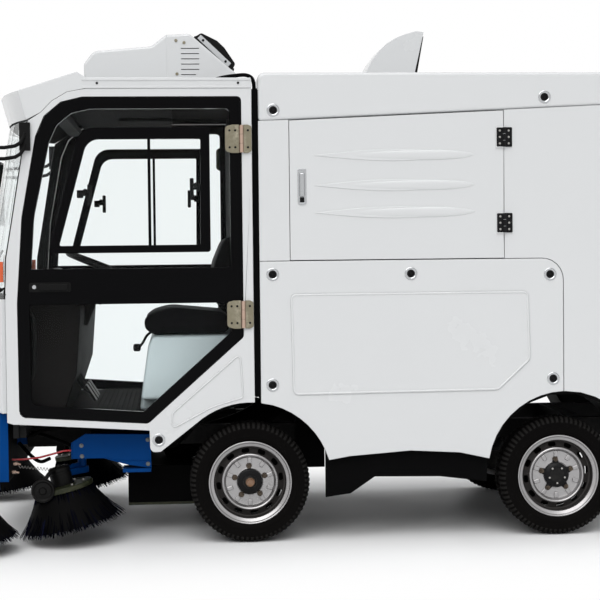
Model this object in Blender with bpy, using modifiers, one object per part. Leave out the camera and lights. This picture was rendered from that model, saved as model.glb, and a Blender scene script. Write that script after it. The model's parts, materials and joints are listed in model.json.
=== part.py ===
"""Compact street sweeper truck: cab over the front axle, closed rear body, four side brushes.

Metres. X runs from nose to tail and is measured from the front axle, Y runs to the truck's right
hand side, Z runs up from the ground. Everything hangs on one empty, which moves the truck so that
the middle of its length stands on the world's origin.
"""
import bmesh
import bpy
from math import atan2, cos, degrees, pi, radians, sin, tan
from mathutils import Matrix, Vector

# Outer faces
BODY_HALF_WIDTH = 0.700
WALL = 0.030
SHEET = 0.004
SEAM = 0.0025
TOUCH = 0.0003
ARCH_RADIUS = 0.333
REAR_ARCH_RADIUS = 0.322
REAR_ARCH_SHIFT = 0.020
REAR_ARCH_RISE = 0.034
LINER_RADIUS = 0.318
LINER_INNER_Y = BODY_HALF_WIDTH - 0.316

# Running gear
WHEELBASE = 1.279
HALF_TRACK = BODY_HALF_WIDTH - 0.110
TYRE_RADIUS = 0.246
TYRE_WIDTH = 0.145
RIM_RADIUS = 0.170
RIM_WIDTH = 0.132
RIM_SHEET = 0.005
WHEEL_SIDES = 20
SPINDLE_RADIUS = 0.030
PIN_CLEARANCE = 0.0008
KINGPIN_Y = HALF_TRACK - 0.090
KINGPIN_RADIUS = 0.020
AXLE_HALF_HEIGHT = 0.030
YOKE_REACH = 0.095
YOKE_GAP = 0.075
RAIL_Y = 0.300
RAIL_WIDTH = 0.050
RAIL_BOTTOM = 0.370
RAIL_HEIGHT = 0.080
RAIL_FRONT = -0.930
BATTERY_X = (0.260, 1.000)
BATTERY_HALF_WIDTH = BODY_HALF_WIDTH - 0.280
BATTERY_TOP = 0.860

# Rear body
BODY_FRONT = 0.046
REAR_OVERHANG = 0.621
BODY_REAR = WHEELBASE + REAR_OVERHANG
BODY_TOP = 1.910
BODY_FOOT = 0.330
FRONT_WALL_FOOT = 0.600
BELT = 1.149
CAP_SEAM_FRONT = 1.715
CAP_SEAM_SLOPE = 0.0427
CAP_SHEET = 0.024
DECK = 0.026
LOWER_PANEL_REAR = 1.292
LOWER_PANEL_CORNER = 0.088
EMBOSS = 0.003
HATCH_FRONT = 0.171
HATCH_REAR = 1.047
HATCH_HINGES = (1.296, 1.645)
RIB_LEVELS = (1.575, 1.453, 1.343)
RIB_X = 0.595
RIB_LENGTH = 0.645
RIB_HEIGHT = 0.046
REAR_DOOR_HALF_WIDTH = BODY_HALF_WIDTH - 0.100
REAR_DOOR_FOOT = 0.560
REAR_DOOR_TOP = 1.690
BARREL_RADIUS = 0.006
BARREL_OFFSET = 0.0078

# Cab
CAB_REAR = 0.020
CAB_RAIL_TOP = 1.847
CAB_ROOF_TOP = CAB_RAIL_TOP + 0.042
CAB_FOOT = 0.473
CAB_SIDE = 0.040
DOOR_FRAME = 0.046
DOOR_THICKNESS = 0.028
DOOR_AXIS_X = -0.022
DOOR_HINGES = (0.936, 1.643)
WAIST = (0.985, 1.128)
BROW = ((-0.640, CAB_RAIL_TOP), (-0.715, CAB_RAIL_TOP - 0.014), (-0.775, CAB_RAIL_TOP - 0.049),
        (-0.820, CAB_RAIL_TOP - 0.095))
BROW_FOOT = CAB_RAIL_TOP - 0.127
NOSE_BULGE = 0.120
NOSE_POWER = 3.0
FASCIA_FOOT = 0.552
FASCIA_TOP = 1.010
FASCIA_SHEET = 0.020
GLASS_SHEET = 0.005
SLANT = 1.15
WINDSHIELD_TOP = BROW_FOOT - 0.005
WINDSHIELD_HALF_WIDTH = BODY_HALF_WIDTH - 0.006
INDICATOR_Z = (1.078, 1.160)
LAMP_Y = 0.470
LAMP_Z = 0.760
LAMP_RADIUS = 0.078
FLOOR_TOP = 0.520
FLOOR_SHEET = 0.018
BACK_WALL_X = -0.045
BACK_WALL_SHEET = 0.022
SEAT_Y = -0.280
SEAT_TOP = 0.845
STEERING_HUB = (-0.600, SEAT_Y, FLOOR_TOP + 0.610)
MIRROR_Z = 1.566

# Cooling unit and air outlet on the roof
COOLER_HALF_WIDTH = 0.330
COOLER_REAR = (-0.024, CAB_ROOF_TOP + 0.059)
COOLER_PEAK = (-0.222, CAB_ROOF_TOP + 0.229)
SCOOP_X = 0.545
SCOOP_LENGTH = 0.270
SCOOP_HEIGHT = 0.246
SCOOP_HALF_WIDTH = 0.130

# Brushes: name, centre x, centre y, disc height, disc radius, tip radius, tilt, pivot x, pivot y
BRUSH_TABLE = (
    ("front", -1.170, BODY_HALF_WIDTH + 0.020, 0.198, 0.125, 0.225, 7.0, -1.045, BODY_HALF_WIDTH - 0.100),
    ("mid", -0.765, BODY_HALF_WIDTH - 0.160, 0.228, 0.122, 0.205, 13.0, -0.695, BODY_HALF_WIDTH - 0.270),
)
DISC_THICKNESS = 0.022
BRISTLE_LENGTH = 0.168
BRISTLE_BAND = 0.065
BRUSH_SIDES = 20
DUCT_RADIUS = 0.062
MOTOR_RADIUS = 0.045
MOTOR_HEIGHT = 0.085
PIVOT_RADIUS = 0.018
ARM_HALF_HEIGHT = 0.014
BRUSH_CLEARANCE = 0.006
BRACKET_PLATE = 0.345
BRACKET_Y = BODY_HALF_WIDTH - 0.150
BUMPER_FRONT = -1.105
BUMPER_REAR = -0.975
BUMPER_Z = (0.268, 0.545)
BUMPER_HALF_WIDTH = BODY_HALF_WIDTH - 0.060

LEAN = radians(BRUSH_TABLE[0][6])
NOSE_END = BRUSH_TABLE[0][1] + BRISTLE_LENGTH * sin(LEAN) - BRUSH_TABLE[0][5] * cos(LEAN)
TAIL_END = BODY_REAR + 0.035
ORIGIN_X = (NOSE_END + TAIL_END) / 2
WHEEL_Z = TYRE_RADIUS
SIDES = (("left", -1), ("right", 1))


def start():
    """Clear the scene and make the two collections."""
    for thing in list(bpy.data.objects):
        bpy.data.objects.remove(thing, do_unlink=True)
    collections = []
    for name in ("street_sweeper_truck", "cutters"):
        group = bpy.data.collections.new(name)
        bpy.context.scene.collection.children.link(group)
        collections.append(group)
    return collections


PARTS, CUTTERS = start()


def paint(name, colour, roughness, metallic=0.0):
    """A Principled material."""
    made = bpy.data.materials.new(name)
    made.use_nodes = True
    shader = made.node_tree.nodes["Principled BSDF"]
    shader.inputs["Base Color"].default_value = (*colour, 1.0)
    shader.inputs["Roughness"].default_value = roughness
    shader.inputs["Metallic"].default_value = metallic
    made.diffuse_color = (*colour, 1.0)
    return made


WHITE = paint("white_paint", (0.72, 0.73, 0.73), 0.25)
BLACK = paint("black_paint", (0.015, 0.015, 0.016), 0.35)
BLUE = paint("blue_paint", (0.005, 0.075, 0.33), 0.35)
PLASTIC = paint("dark_plastic", (0.03, 0.03, 0.032), 0.55)
RUBBER = paint("rubber", (0.02, 0.02, 0.02), 0.85)
STEEL = paint("silver_steel", (0.45, 0.45, 0.46), 0.35, 0.8)
IRON = paint("dark_iron", (0.05, 0.05, 0.052), 0.5, 0.6)
GLASS = paint("tinted_glass", (0.35, 0.40, 0.40), 0.05)
AMBER = paint("amber_lens", (0.75, 0.18, 0.02), 0.2)
BRISTLE = paint("bristle", (0.012, 0.013, 0.02), 0.9)
VINYL = paint("black_vinyl", (0.02, 0.02, 0.02), 0.6)
RED = paint("red_hose", (0.55, 0.02, 0.03), 0.4)

DATUM = bpy.data.objects.new("truck_datum", None)
PARTS.objects.link(DATUM)
DATUM.location = (-ORIGIN_X, 0.0, 0.0)


def pivot(name, point, parent=None):
    """An empty on a joint's axis, which carries the pieces that move with it."""
    made = bpy.data.objects.new(name, None)
    PARTS.objects.link(made)
    carrier = parent or DATUM
    made.parent = carrier
    made.location = Vector(point) - Vector(carrier.get("spot", (0.0, 0.0, 0.0)))
    made["spot"] = tuple(point)
    return made


def add(name, mesh, material, carrier=None):
    """Put a mesh, whose points are truck coordinates, under its carrier."""
    made = bpy.data.objects.new(name, mesh)
    mesh.materials.append(material)
    PARTS.objects.link(made)
    carrier = carrier or DATUM
    made.parent = carrier
    mesh.transform(Matrix.Translation(-Vector(carrier.get("spot", (0.0, 0.0, 0.0)))))
    return made


def cutter(mesh, carrier=None):
    """An object that only shapes another one."""
    made = bpy.data.objects.new("cutter", mesh)
    CUTTERS.objects.link(made)
    carrier = carrier or DATUM
    made.parent = carrier
    mesh.transform(Matrix.Translation(-Vector(carrier.get("spot", (0.0, 0.0, 0.0)))))
    made.hide_render = True
    made.display_type = "WIRE"
    return made


def shape(target, mesh, operation):
    """Cut a mesh out of the target, or join it on."""
    step = target.modifiers.new(operation.lower(), "BOOLEAN")
    step.operation = operation
    step.object = cutter(mesh, target.parent)
    return target


def cut(target, *meshes):
    for mesh in meshes:
        shape(target, mesh, "DIFFERENCE")
    return target


def join(target, *meshes):
    for mesh in meshes:
        shape(target, mesh, "UNION")
    return target


def soften(target, width, segments=2, angle=40.0):
    """Round the edges of what the object is so far."""
    step = target.modifiers.new("bevel", "BEVEL")
    step.width = width
    step.segments = segments
    step.limit_method = "ANGLE"
    step.angle_limit = radians(angle)
    return target


def smooth(target, angle=35.0):
    target.data.shade_smooth()
    target.data.set_sharp_from_angle(angle=radians(angle))
    return target


def arc(centre, radius, start_angle, end_angle, steps):
    """Points on a circle, angles in degrees."""
    points = []
    for i in range(steps + 1):
        a = radians(start_angle + (end_angle - start_angle) * i / steps)
        points.append((centre[0] + radius * cos(a), centre[1] + radius * sin(a)))
    return points


def rounded(corners, steps=3):
    """A closed outline from rows of u, v, fillet radius."""
    points = []
    count = len(corners)
    for i, (u, v, radius) in enumerate(corners):
        here = Vector((u, v))
        before = (Vector(corners[i - 1][:2]) - here).normalized()
        after = (Vector(corners[(i + 1) % count][:2]) - here).normalized()
        half = before.angle(after) / 2
        if radius <= 0.0 or half > radians(89.0):
            points.append((u, v))
            continue
        reach = radius / tan(half)
        centre = here + (before + after).normalized() * (radius / sin(half))
        first = here + before * reach - centre
        last = here + after * reach - centre
        turn = first.angle_signed(last)
        for k in range(steps + 1):
            spoke = first.copy()
            spoke.rotate(Matrix.Rotation(-turn * k / steps, 2))
            points.append(tuple(centre + spoke))
    return points


PLANES = {
    "XZ": Matrix(((1, 0, 0, 0), (0, 0, 1, 0), (0, 1, 0, 0), (0, 0, 0, 1))),
    "YZ": Matrix(((0, 0, 1, 0), (1, 0, 0, 0), (0, 1, 0, 0), (0, 0, 0, 1))),
    "XY": Matrix.Identity(4),
}


def curve_mesh(curve):
    """The welded mesh of a filled or bevelled curve."""
    holder = bpy.data.objects.new("curve", curve)
    CUTTERS.objects.link(holder)
    graph = bpy.context.evaluated_depsgraph_get()
    mesh = bpy.data.meshes.new_from_object(holder.evaluated_get(graph))
    bpy.data.objects.remove(holder)
    work = bmesh.new()
    work.from_mesh(mesh)
    bmesh.ops.remove_doubles(work, verts=work.verts, dist=1e-5)
    bmesh.ops.recalc_face_normals(work, faces=work.faces)
    work.to_mesh(mesh)
    work.free()
    return mesh


def plate(plane, low, high, outline, *holes):
    """A flat outline with holes, as thick as low to high across its plane."""
    curve = bpy.data.curves.new("outline", "CURVE")
    curve.dimensions = "2D"
    curve.fill_mode = "BOTH"
    curve.extrude = (high - low) / 2
    for loop in (outline, *holes):
        spline = curve.splines.new("POLY")
        spline.points.add(len(loop) - 1)
        for point, (u, v) in zip(spline.points, loop):
            point.co = (u, v, 0.0, 1.0)
        spline.use_cyclic_u = True
    mesh = curve_mesh(curve)
    mesh.transform(Matrix.Translation((0.0, 0.0, (low + high) / 2)))
    mesh.transform(PLANES[plane])
    work = bmesh.new()
    work.from_mesh(mesh)
    bmesh.ops.dissolve_degenerate(work, edges=work.edges, dist=1e-5)
    bmesh.ops.dissolve_limit(work, angle_limit=radians(0.2), verts=work.verts, edges=work.edges)
    work.to_mesh(mesh)
    work.free()
    return outward(mesh)


def outward(mesh):
    """Turn a closed mesh's faces out."""
    work = bmesh.new()
    work.from_mesh(mesh)
    bmesh.ops.recalc_face_normals(work, faces=work.faces)
    if work.calc_volume(signed=True) < 0:
        bmesh.ops.reverse_faces(work, faces=work.faces)
    work.to_mesh(mesh)
    work.free()
    return mesh


def side_plate(side, inner, outer, outline, *holes):
    """A plate seen from the side, between two distances from the middle of the truck."""
    low, high = sorted((side * inner, side * outer))
    return plate("XZ", low, high, outline, *holes)


def block(x, y, z, bevel=0.0, segments=2):
    """A box from three ranges."""
    work = bmesh.new()
    bmesh.ops.create_cube(work, size=1.0)
    size = (x[1] - x[0], y[1] - y[0], z[1] - z[0])
    middle = ((x[0] + x[1]) / 2, (y[0] + y[1]) / 2, (z[0] + z[1]) / 2)
    bmesh.ops.scale(work, vec=size, verts=work.verts)
    bmesh.ops.translate(work, vec=middle, verts=work.verts)
    if bevel > 0.0:
        bmesh.ops.bevel(work, geom=work.edges[:], offset=bevel, segments=segments, affect="EDGES")
    mesh = bpy.data.meshes.new("block")
    work.to_mesh(mesh)
    work.free()
    return mesh


def rod(first, last, radius, sides=16, last_radius=None):
    """A cylinder or a cone between two points."""
    first = Vector(first)
    last = Vector(last)
    work = bmesh.new()
    end_radius = radius if last_radius is None else last_radius
    bmesh.ops.create_cone(work, cap_ends=True, segments=sides, radius1=radius,
                          radius2=end_radius, depth=(last - first).length)
    turn = Vector((0, 0, 1)).rotation_difference(last - first).to_matrix().to_4x4()
    bmesh.ops.transform(work, matrix=Matrix.Translation((first + last) / 2) @ turn, verts=work.verts)
    mesh = bpy.data.meshes.new("rod")
    work.to_mesh(mesh)
    work.free()
    return mesh


def pipe(points, radius, resolution=3):
    """A bent tube along a smooth line through the points."""
    curve = bpy.data.curves.new("pipe", "CURVE")
    curve.dimensions = "3D"
    curve.bevel_depth = radius
    curve.bevel_resolution = resolution
    curve.use_fill_caps = True
    spline = curve.splines.new("POLY")
    spline.points.add(len(points) - 1)
    for point, place in zip(spline.points, points):
        point.co = (*place, 1.0)
    return outward(curve_mesh(curve))


def eased(points, steps=4):
    """Points on a smooth curve through the given ones."""
    rows = [Vector(p) for p in points]
    rows = [2 * rows[0] - rows[1]] + rows + [2 * rows[-1] - rows[-2]]
    line = []
    for a, b, c, d in zip(rows, rows[1:], rows[2:], rows[3:]):
        for k in range(steps):
            t = k / steps
            line.append(0.5 * (2 * b + (c - a) * t + (2 * a - 5 * b + 4 * c - d) * t ** 2
                               + (3 * b - a - 3 * c + d) * t ** 3))
    line.append(rows[-2])
    return line


def turned(name, profile, sides, material, carrier, centre, side=1):
    """A closed profile of radius and height, turned about the Y axis through a centre."""
    mesh = bpy.data.meshes.new(name)
    loop = [(radius, 0.0, height) for radius, height in profile]
    edges = [(i, (i + 1) % len(loop)) for i in range(len(loop))]
    mesh.from_pydata(loop, edges, [])
    made = bpy.data.objects.new(name, mesh)
    mesh.materials.append(material)
    PARTS.objects.link(made)
    made.parent = carrier
    made.location = Vector(centre) - Vector(carrier.get("spot", (0.0, 0.0, 0.0)))
    made.rotation_euler = (-side * pi / 2, 0.0, 0.0)
    screw = made.modifiers.new("turn", "SCREW")
    screw.angle = 2 * pi
    screw.steps = sides
    screw.render_steps = sides
    screw.use_merge_vertices = True
    screw.merge_threshold = 0.0001
    screw.use_normal_flip = True
    return made


def nose_x(corner_x, y):
    """How far forward the curved nose stands at a distance from the middle."""
    return corner_x - NOSE_BULGE * (1.0 - abs(y / BODY_HALF_WIDTH) ** NOSE_POWER)


def nose_rest(half_width):
    """How far rearward a curved sheet moves so that its side edges rest on the pillars."""
    return NOSE_BULGE * (1.0 - (half_width / BODY_HALF_WIDTH) ** NOSE_POWER)


def nose_sheet(name, levels, half_width, thickness, material, columns=14):
    """A curved sheet across the nose; levels are rows of z and corner x."""
    rest = nose_rest(half_width)
    mesh = bpy.data.meshes.new(name)
    points = []
    faces = []
    for z, corner_x in levels:
        for i in range(columns + 1):
            y = half_width * sin(pi / 2 * (2 * i / columns - 1))
            points.append((nose_x(corner_x, y) + rest, y, z))
    for row in range(len(levels) - 1):
        for i in range(columns):
            a = row * (columns + 1) + i
            faces.append((a, a + columns + 1, a + columns + 2, a + 1))
    mesh.from_pydata(points, [], faces)
    made = add(name, mesh, material)
    skin = made.modifiers.new("sheet", "SOLIDIFY")
    skin.thickness = thickness
    skin.offset = 1.0
    return smooth(made)


def cab_front_x(z):
    """The front edge of the cab's side panel at a height."""
    rows = ((0.50, -0.972), (1.00, -0.972), (1.17, -0.966), (1.33, -0.938), (1.65, -0.885), (1.85, -0.845))
    for (low, low_x), (high, high_x) in zip(rows, rows[1:]):
        if z <= high:
            return low_x + (high_x - low_x) * (z - low) / (high - low)
    return rows[-1][1]


def door_outline(inset=0.0):
    """The cab door's edge, or a line inside it."""
    top = 1.812 - inset
    rear = -0.024 - inset
    foot = 0.537 + inset
    slope = inset * 1.1
    return rounded((
        (rear, top, 0.018),
        (-0.812 + slope, top, 0.190 - inset / 2),
        (-0.900 + inset, 1.334, 0.30),
        (-0.923 + inset, 0.990, 0.30),
        (-0.921 + inset, foot, 0.030),
        (-0.412 - inset * 0.35, foot - 0.034, 0.022),
        (rear, 0.846 + inset * 0.45, 0.022),
    ))


def clip(line, keep, level):
    """Cut a closed outline by a level line."""
    out = []
    count = len(line)
    for i in range(count):
        a = line[i]
        b = line[(i + 1) % count]
        if keep(a[1]):
            out.append(a)
        if keep(a[1]) != keep(b[1]):
            t = (level - a[1]) / (b[1] - a[1])
            out.append((a[0] + t * (b[0] - a[0]), level))
    return out


def cap_seam(x):
    """Height of the seam between the rear body's walls and its roof cap."""
    return CAP_SEAM_FRONT + CAP_SEAM_SLOPE * (x - BODY_FRONT)


def chassis():
    """Ladder frame, axles and the heavy block between the rails."""
    rail_top = RAIL_BOTTOM + RAIL_HEIGHT
    outer = RAIL_Y + RAIL_WIDTH / 2
    inner = RAIL_Y - RAIL_WIDTH / 2
    rail_rear = BODY_REAR - WALL - TOUCH
    outline = [(RAIL_FRONT, -outer), (rail_rear, -outer), (rail_rear, outer), (RAIL_FRONT, outer)]
    bars = (RAIL_FRONT, -0.560, 0.245, 0.780, 1.420, rail_rear - 0.060)
    holes = []
    for front, rear in zip(bars, bars[1:]):
        holes.append([(front + 0.060, -inner), (rear, -inner), (rear, inner), (front + 0.060, inner)])
    frame = add("chassis_frame", plate("XY", RAIL_BOTTOM, rail_top, outline, *holes), IRON)
    for side in (-1, 1):
        for x in (0.0, WHEELBASE):
            y_range = sorted((side * (RAIL_Y - 0.020), side * (RAIL_Y + 0.020)))
            seat = block((x - 0.030, x + 0.030), y_range, (WHEEL_Z + AXLE_HALF_HEIGHT + TOUCH, RAIL_BOTTOM + 0.01))
            join(frame, seat)
    half = []
    yoke = (KINGPIN_Y - 0.060, KINGPIN_Y - 0.042, KINGPIN_Y + 0.022)
    for y, rise in ((yoke[0], AXLE_HALF_HEIGHT), (yoke[0], YOKE_REACH), (yoke[2], YOKE_REACH), (yoke[2], YOKE_GAP),
                    (yoke[1], YOKE_GAP)):
        half.append((y, WHEEL_Z + rise))
    quarter = half + [(y, 2 * WHEEL_Z - z) for y, z in reversed(half)]
    axle_line = quarter + [(-y, z) for y, z in reversed(quarter)]
    add("front_axle", plate("YZ", -0.028, 0.028, axle_line), IRON)
    rear = add("rear_axle", rod((WHEELBASE, 0.030 - HALF_TRACK, WHEEL_Z), (WHEELBASE, HALF_TRACK - 0.030, WHEEL_Z),
                                AXLE_HALF_HEIGHT, 20), IRON)
    tips = rod((WHEELBASE, -HALF_TRACK - 0.045, WHEEL_Z), (WHEELBASE, HALF_TRACK + 0.045, WHEEL_Z),
               SPINDLE_RADIUS, 20)
    casing = rod((WHEELBASE, -0.085, WHEEL_Z), (WHEELBASE, 0.085, WHEEL_Z), 0.095, 20)
    join(rear, tips, casing)
    battery_y = (-BATTERY_HALF_WIDTH, BATTERY_HALF_WIDTH)
    add("battery_block", block(BATTERY_X, battery_y, (rail_top + TOUCH, BATTERY_TOP)), PLASTIC)


def wheels():
    """Disc wheels and tyres; the front ones hang on steered knuckles."""
    seat = RIM_RADIUS - 0.0175
    half = RIM_WIDTH / 2
    well = RIM_RADIUS - 0.034
    bore = SPINDLE_RADIUS + PIN_CLEARANCE
    lip = RIM_RADIUS - 0.006
    inside = well - RIM_SHEET
    rim_profile = [
        (lip, half), (seat - RIM_SHEET, half - 0.008), (inside, 0.016),
        (0.104, 0.032), (0.068, 0.020), (bore, 0.020), (bore, 0.014), (0.070, 0.014), (0.100, 0.025),
        (inside, 0.006), (inside, -0.028), (seat - RIM_SHEET, -0.036),
        (seat - RIM_SHEET, 0.008 - half), (lip, -half), (RIM_RADIUS, -half),
        (seat, 0.008 - half), (seat, -0.038), (well, -0.030), (well, 0.022), (seat, 0.032), (seat, half - 0.008),
        (RIM_RADIUS, half),
    ]
    tread = TYRE_WIDTH / 2
    bead = half - 0.0085
    tyre_half = [(TYRE_RADIUS, tread - 0.022), (TYRE_RADIUS - 0.010, tread - 0.008), (TYRE_RADIUS - 0.030, tread),
                 (RIM_RADIUS + 0.018, tread - 0.002), (seat + TOUCH, bead)]
    tyre_profile = tyre_half + [(radius, -y) for radius, y in reversed(tyre_half)]
    for label, side in SIDES:
        kingpin = (0.0, side * KINGPIN_Y, WHEEL_Z)
        steer = pivot("steer_" + label, kingpin)
        pin = rod((0.0, side * KINGPIN_Y, WHEEL_Z - YOKE_GAP + TOUCH),
                  (0.0, side * KINGPIN_Y, WHEEL_Z + YOKE_GAP - TOUCH),
                  KINGPIN_RADIUS, 16)
        knuckle = add("knuckle_" + label, pin, IRON, steer)
        spindle = rod((0.0, side * KINGPIN_Y, WHEEL_Z), (0.0, side * (HALF_TRACK + 0.045), WHEEL_Z),
                      SPINDLE_RADIUS, 16)
        join(knuckle, spindle)
        for end, x, carrier in (("front", 0.0, steer), ("rear", WHEELBASE, None)):
            centre = (x, side * HALF_TRACK, WHEEL_Z)
            axle = pivot("wheel_%s_%s" % (end, label), centre, carrier)
            rim = turned("rim_%s_%s" % (end, label), rim_profile, WHEEL_SIDES, STEEL, axle, centre, side)
            tyre = turned("tyre_%s_%s" % (end, label), tyre_profile, WHEEL_SIDES, RUBBER, axle, centre, side)
            smooth(rim)
            smooth(tyre)


def cab_side_outline():
    """Outer edge of the cab's side: roof rail, front pillar, sill and the skirt over the wheel."""
    front = [(cab_front_x(z), z) for z in (BROW_FOOT, 1.650, 1.330, 1.170, 1.000, 0.515)]
    arch = arc((0.0, WHEEL_Z), ARCH_RADIUS, 131.0, 86.5, 8)
    skirt = rounded(((-0.406, CAB_FOOT, 0.0), (-0.404, 0.384, 0.020), (-0.362, 0.386, 0.008), (*arch[0], 0.0)))
    return ([(CAB_REAR, CAB_RAIL_TOP)] + list(BROW) + front + [(-0.950, 0.508)] + skirt[:-1] + arch
            + [(CAB_REAR, arch[-1][1])])


def cab():
    """The cab's frame, its skins, the floor and the furniture."""
    inner = BODY_HALF_WIDTH - CAB_SIDE
    outer = BODY_HALF_WIDTH
    outline = cab_side_outline()
    frame = add("cab_frame", side_plate(-1, inner, BODY_HALF_WIDTH, outline, door_outline(-SEAM)), WHITE)
    join(frame, side_plate(1, inner, BODY_HALF_WIDTH, outline, door_outline(-SEAM)))
    reach = inner + 0.010
    join(frame, block((-0.800, -0.740), (-reach, reach), (BROW_FOOT + 0.035, BROW_FOOT + 0.065)),
         block((-0.015, CAB_REAR), (-reach, reach), (CAB_RAIL_TOP - 0.035, CAB_RAIL_TOP - 0.001)),
         block((-0.950, -0.900), (-reach, reach),
               (RAIL_BOTTOM + RAIL_HEIGHT + TOUCH, FLOOR_TOP - FLOOR_SHEET - TOUCH)),
         block((-0.015, CAB_REAR), (-reach, reach), (FRONT_WALL_FOOT + 0.025, FRONT_WALL_FOOT + 0.065)))

    for side in (-1, 1):
        join(frame, block((-0.950, -0.928), sorted((side * (inner + 0.0005), side * (outer - 0.010))),
                          (RAIL_BOTTOM + RAIL_HEIGHT + TOUCH, 0.560)))
        for z in DOOR_HINGES:
            join(frame, block((DOOR_AXIS_X + BARREL_RADIUS + 0.003, CAB_REAR - 0.002),
                              sorted((side * (outer - 0.002), side * (outer + 0.004))), (z - 0.055, z + 0.055)))

    cab_roof()
    fascia_levels = [(z, cab_front_x(z) - TOUCH) for z in (FASCIA_FOOT, 1.0, FASCIA_TOP)]
    fascia = nose_sheet("front_fascia", fascia_levels, BODY_HALF_WIDTH - 0.008, FASCIA_SHEET, WHITE)
    for side in (-1, 1):
        lamp_x = nose_x(cab_front_x(LAMP_Z), LAMP_Y)
        join(fascia, rod((lamp_x - 0.004, side * LAMP_Y, LAMP_Z), (lamp_x - 0.046, side * LAMP_Y, LAMP_Z),
                         LAMP_RADIUS, 20))
    glass_levels = [(z, cab_front_x(z) - TOUCH) for z in (FASCIA_TOP + SEAM, 1.17, 1.33, 1.65, WINDSHIELD_TOP)]
    nose_sheet("windshield", glass_levels, WINDSHIELD_HALF_WIDTH, GLASS_SHEET, GLASS)

    floor_y = inner - TOUCH
    tunnel_y = LINER_INNER_Y
    floor_rear = BACK_WALL_X - TOUCH
    plan = [(-0.955, -floor_y), (-0.360, -floor_y), (-0.360, -tunnel_y), (floor_rear, -tunnel_y),
            (floor_rear, tunnel_y), (-0.360, tunnel_y), (-0.360, floor_y), (-0.955, floor_y)]
    floor = add("cab_floor", plate("XY", FLOOR_TOP - FLOOR_SHEET, FLOOR_TOP, plan), PLASTIC)
    liner = (arc((0.0, WHEEL_Z), LINER_RADIUS, 146.0, 97.0, 9)
             + arc((0.0, WHEEL_Z), LINER_RADIUS + SHEET + 0.002, 97.0, 146.0, 9))
    for side in (-1, 1):
        join(floor, side_plate(side, tunnel_y - 0.010, floor_y, liner))

    back = [(-floor_y, 0.5902), (floor_y, 0.5902), (floor_y, 1.800), (-floor_y, 1.800)]
    add("cab_back_wall", plate("YZ", BACK_WALL_X, BACK_WALL_X + BACK_WALL_SHEET, back), PLASTIC)

    dash_line = [(-0.950, FLOOR_TOP + TOUCH), (-0.760, FLOOR_TOP + TOUCH), (-0.700, 0.700), (-0.680, 0.960),
                 (-0.720, 1.020), (-0.800, 1.050), (-0.950, 1.050)]
    dash = add("dashboard", plate("XZ", 0.100 - BODY_HALF_WIDTH, BODY_HALF_WIDTH - 0.100, dash_line), PLASTIC)
    wheel_axis = Vector((sin(radians(22.0)), 0.0, cos(radians(22.0))))
    hub = Vector(STEERING_HUB)
    column = rod(hub - wheel_axis * 0.260, hub - wheel_axis * (0.018 + TOUCH), 0.028, 14)
    join(dash, column)
    steering = pivot("steering_wheel_axis", hub)
    rim_points = [(0.160 * cos(2 * pi * k / 18), 0.160 * sin(2 * pi * k / 18), 0.0) for k in range(18)]
    ring = ring_mesh(rim_points, 0.011)
    tilt = Matrix.Translation(hub) @ Matrix.Rotation(radians(22.0), 4, "Y")
    ring.transform(tilt)
    steer_wheel = add("steering_wheel", ring, PLASTIC, steering)
    join(steer_wheel, rod(hub - wheel_axis * 0.018, hub + wheel_axis * 0.014, 0.036, 14))
    for angle in (90.0, 210.0, 330.0):
        tip = tilt @ Vector((0.158 * cos(radians(angle)), 0.158 * sin(radians(angle)), 0.0))
        join(steer_wheel, rod(hub, tip, 0.008, 8))

    leg = LINER_INNER_Y - 0.014
    half = BODY_HALF_WIDTH - 0.150
    base_rear = BACK_WALL_X - TOUCH
    base_line = [(-0.4525, FLOOR_TOP + TOUCH), (-0.410, SEAT_TOP - 0.042), (-0.391, SEAT_TOP), (base_rear, SEAT_TOP),
                 (base_rear, FLOOR_TOP + TOUCH)]
    base = add("seat_base", plate("XZ", -half, half, base_line), WHITE)
    for side in (-1, 1):
        cut(base, block((-0.600, 0.100), sorted((side * leg, side * BODY_HALF_WIDTH)), (0.400, 0.580)))
    cushion = block((-0.425, -0.075), (SEAT_Y - 0.230, SEAT_Y + 0.230), (SEAT_TOP + TOUCH, 0.950), 0.020)
    add("seat_cushion", cushion, VINYL)
    back_line = rounded(((BACK_WALL_X - TOUCH, 0.950 + TOUCH, 0.0), (-0.124, 0.950 + TOUCH, 0.0),
                         (-0.137, 1.142, 0.040), (-0.067, 1.250, 0.020), (BACK_WALL_X - TOUCH, 1.250, 0.0)))
    add("seat_back", plate("XZ", SEAT_Y - 0.220, SEAT_Y + 0.220, back_line), VINYL)


def cab_roof():
    """Roof skin with the brow over the windshield, lofted across the curved nose."""
    brow_x = cab_front_x(BROW_FOOT)
    rows = [(CAB_REAR, CAB_ROOF_TOP - 0.006, 0.0), (0.0, CAB_ROOF_TOP, 0.0), (-0.640, CAB_ROOF_TOP + 0.002, 0.0),
            (-0.676, CAB_ROOF_TOP + 0.025, 0.2), (-0.909, CAB_ROOF_TOP - 0.050, 1.0),
            (brow_x - 0.006, BROW_FOOT + 0.003, 1.0)]
    shares = (0.0, 0.5, 1.0, 1.0)
    rows += [(x - TOUCH, z + 2 * TOUCH, share) for (x, z), share in reversed(list(zip(BROW, shares)))]
    rows.append((CAB_REAR, CAB_RAIL_TOP + 2 * TOUCH, 0.0))
    columns = 12
    stations = [BODY_HALF_WIDTH * sin(pi / 2 * (2 * k / columns - 1)) for k in range(columns + 1)]
    sections = []
    for y in stations:
        bulge = nose_x(0.0, y)
        sections.append([(x + bulge * share, y, z) for x, z, share in rows])
    return smooth(add("cab_roof", loft(sections), WHITE), 30.0)


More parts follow.
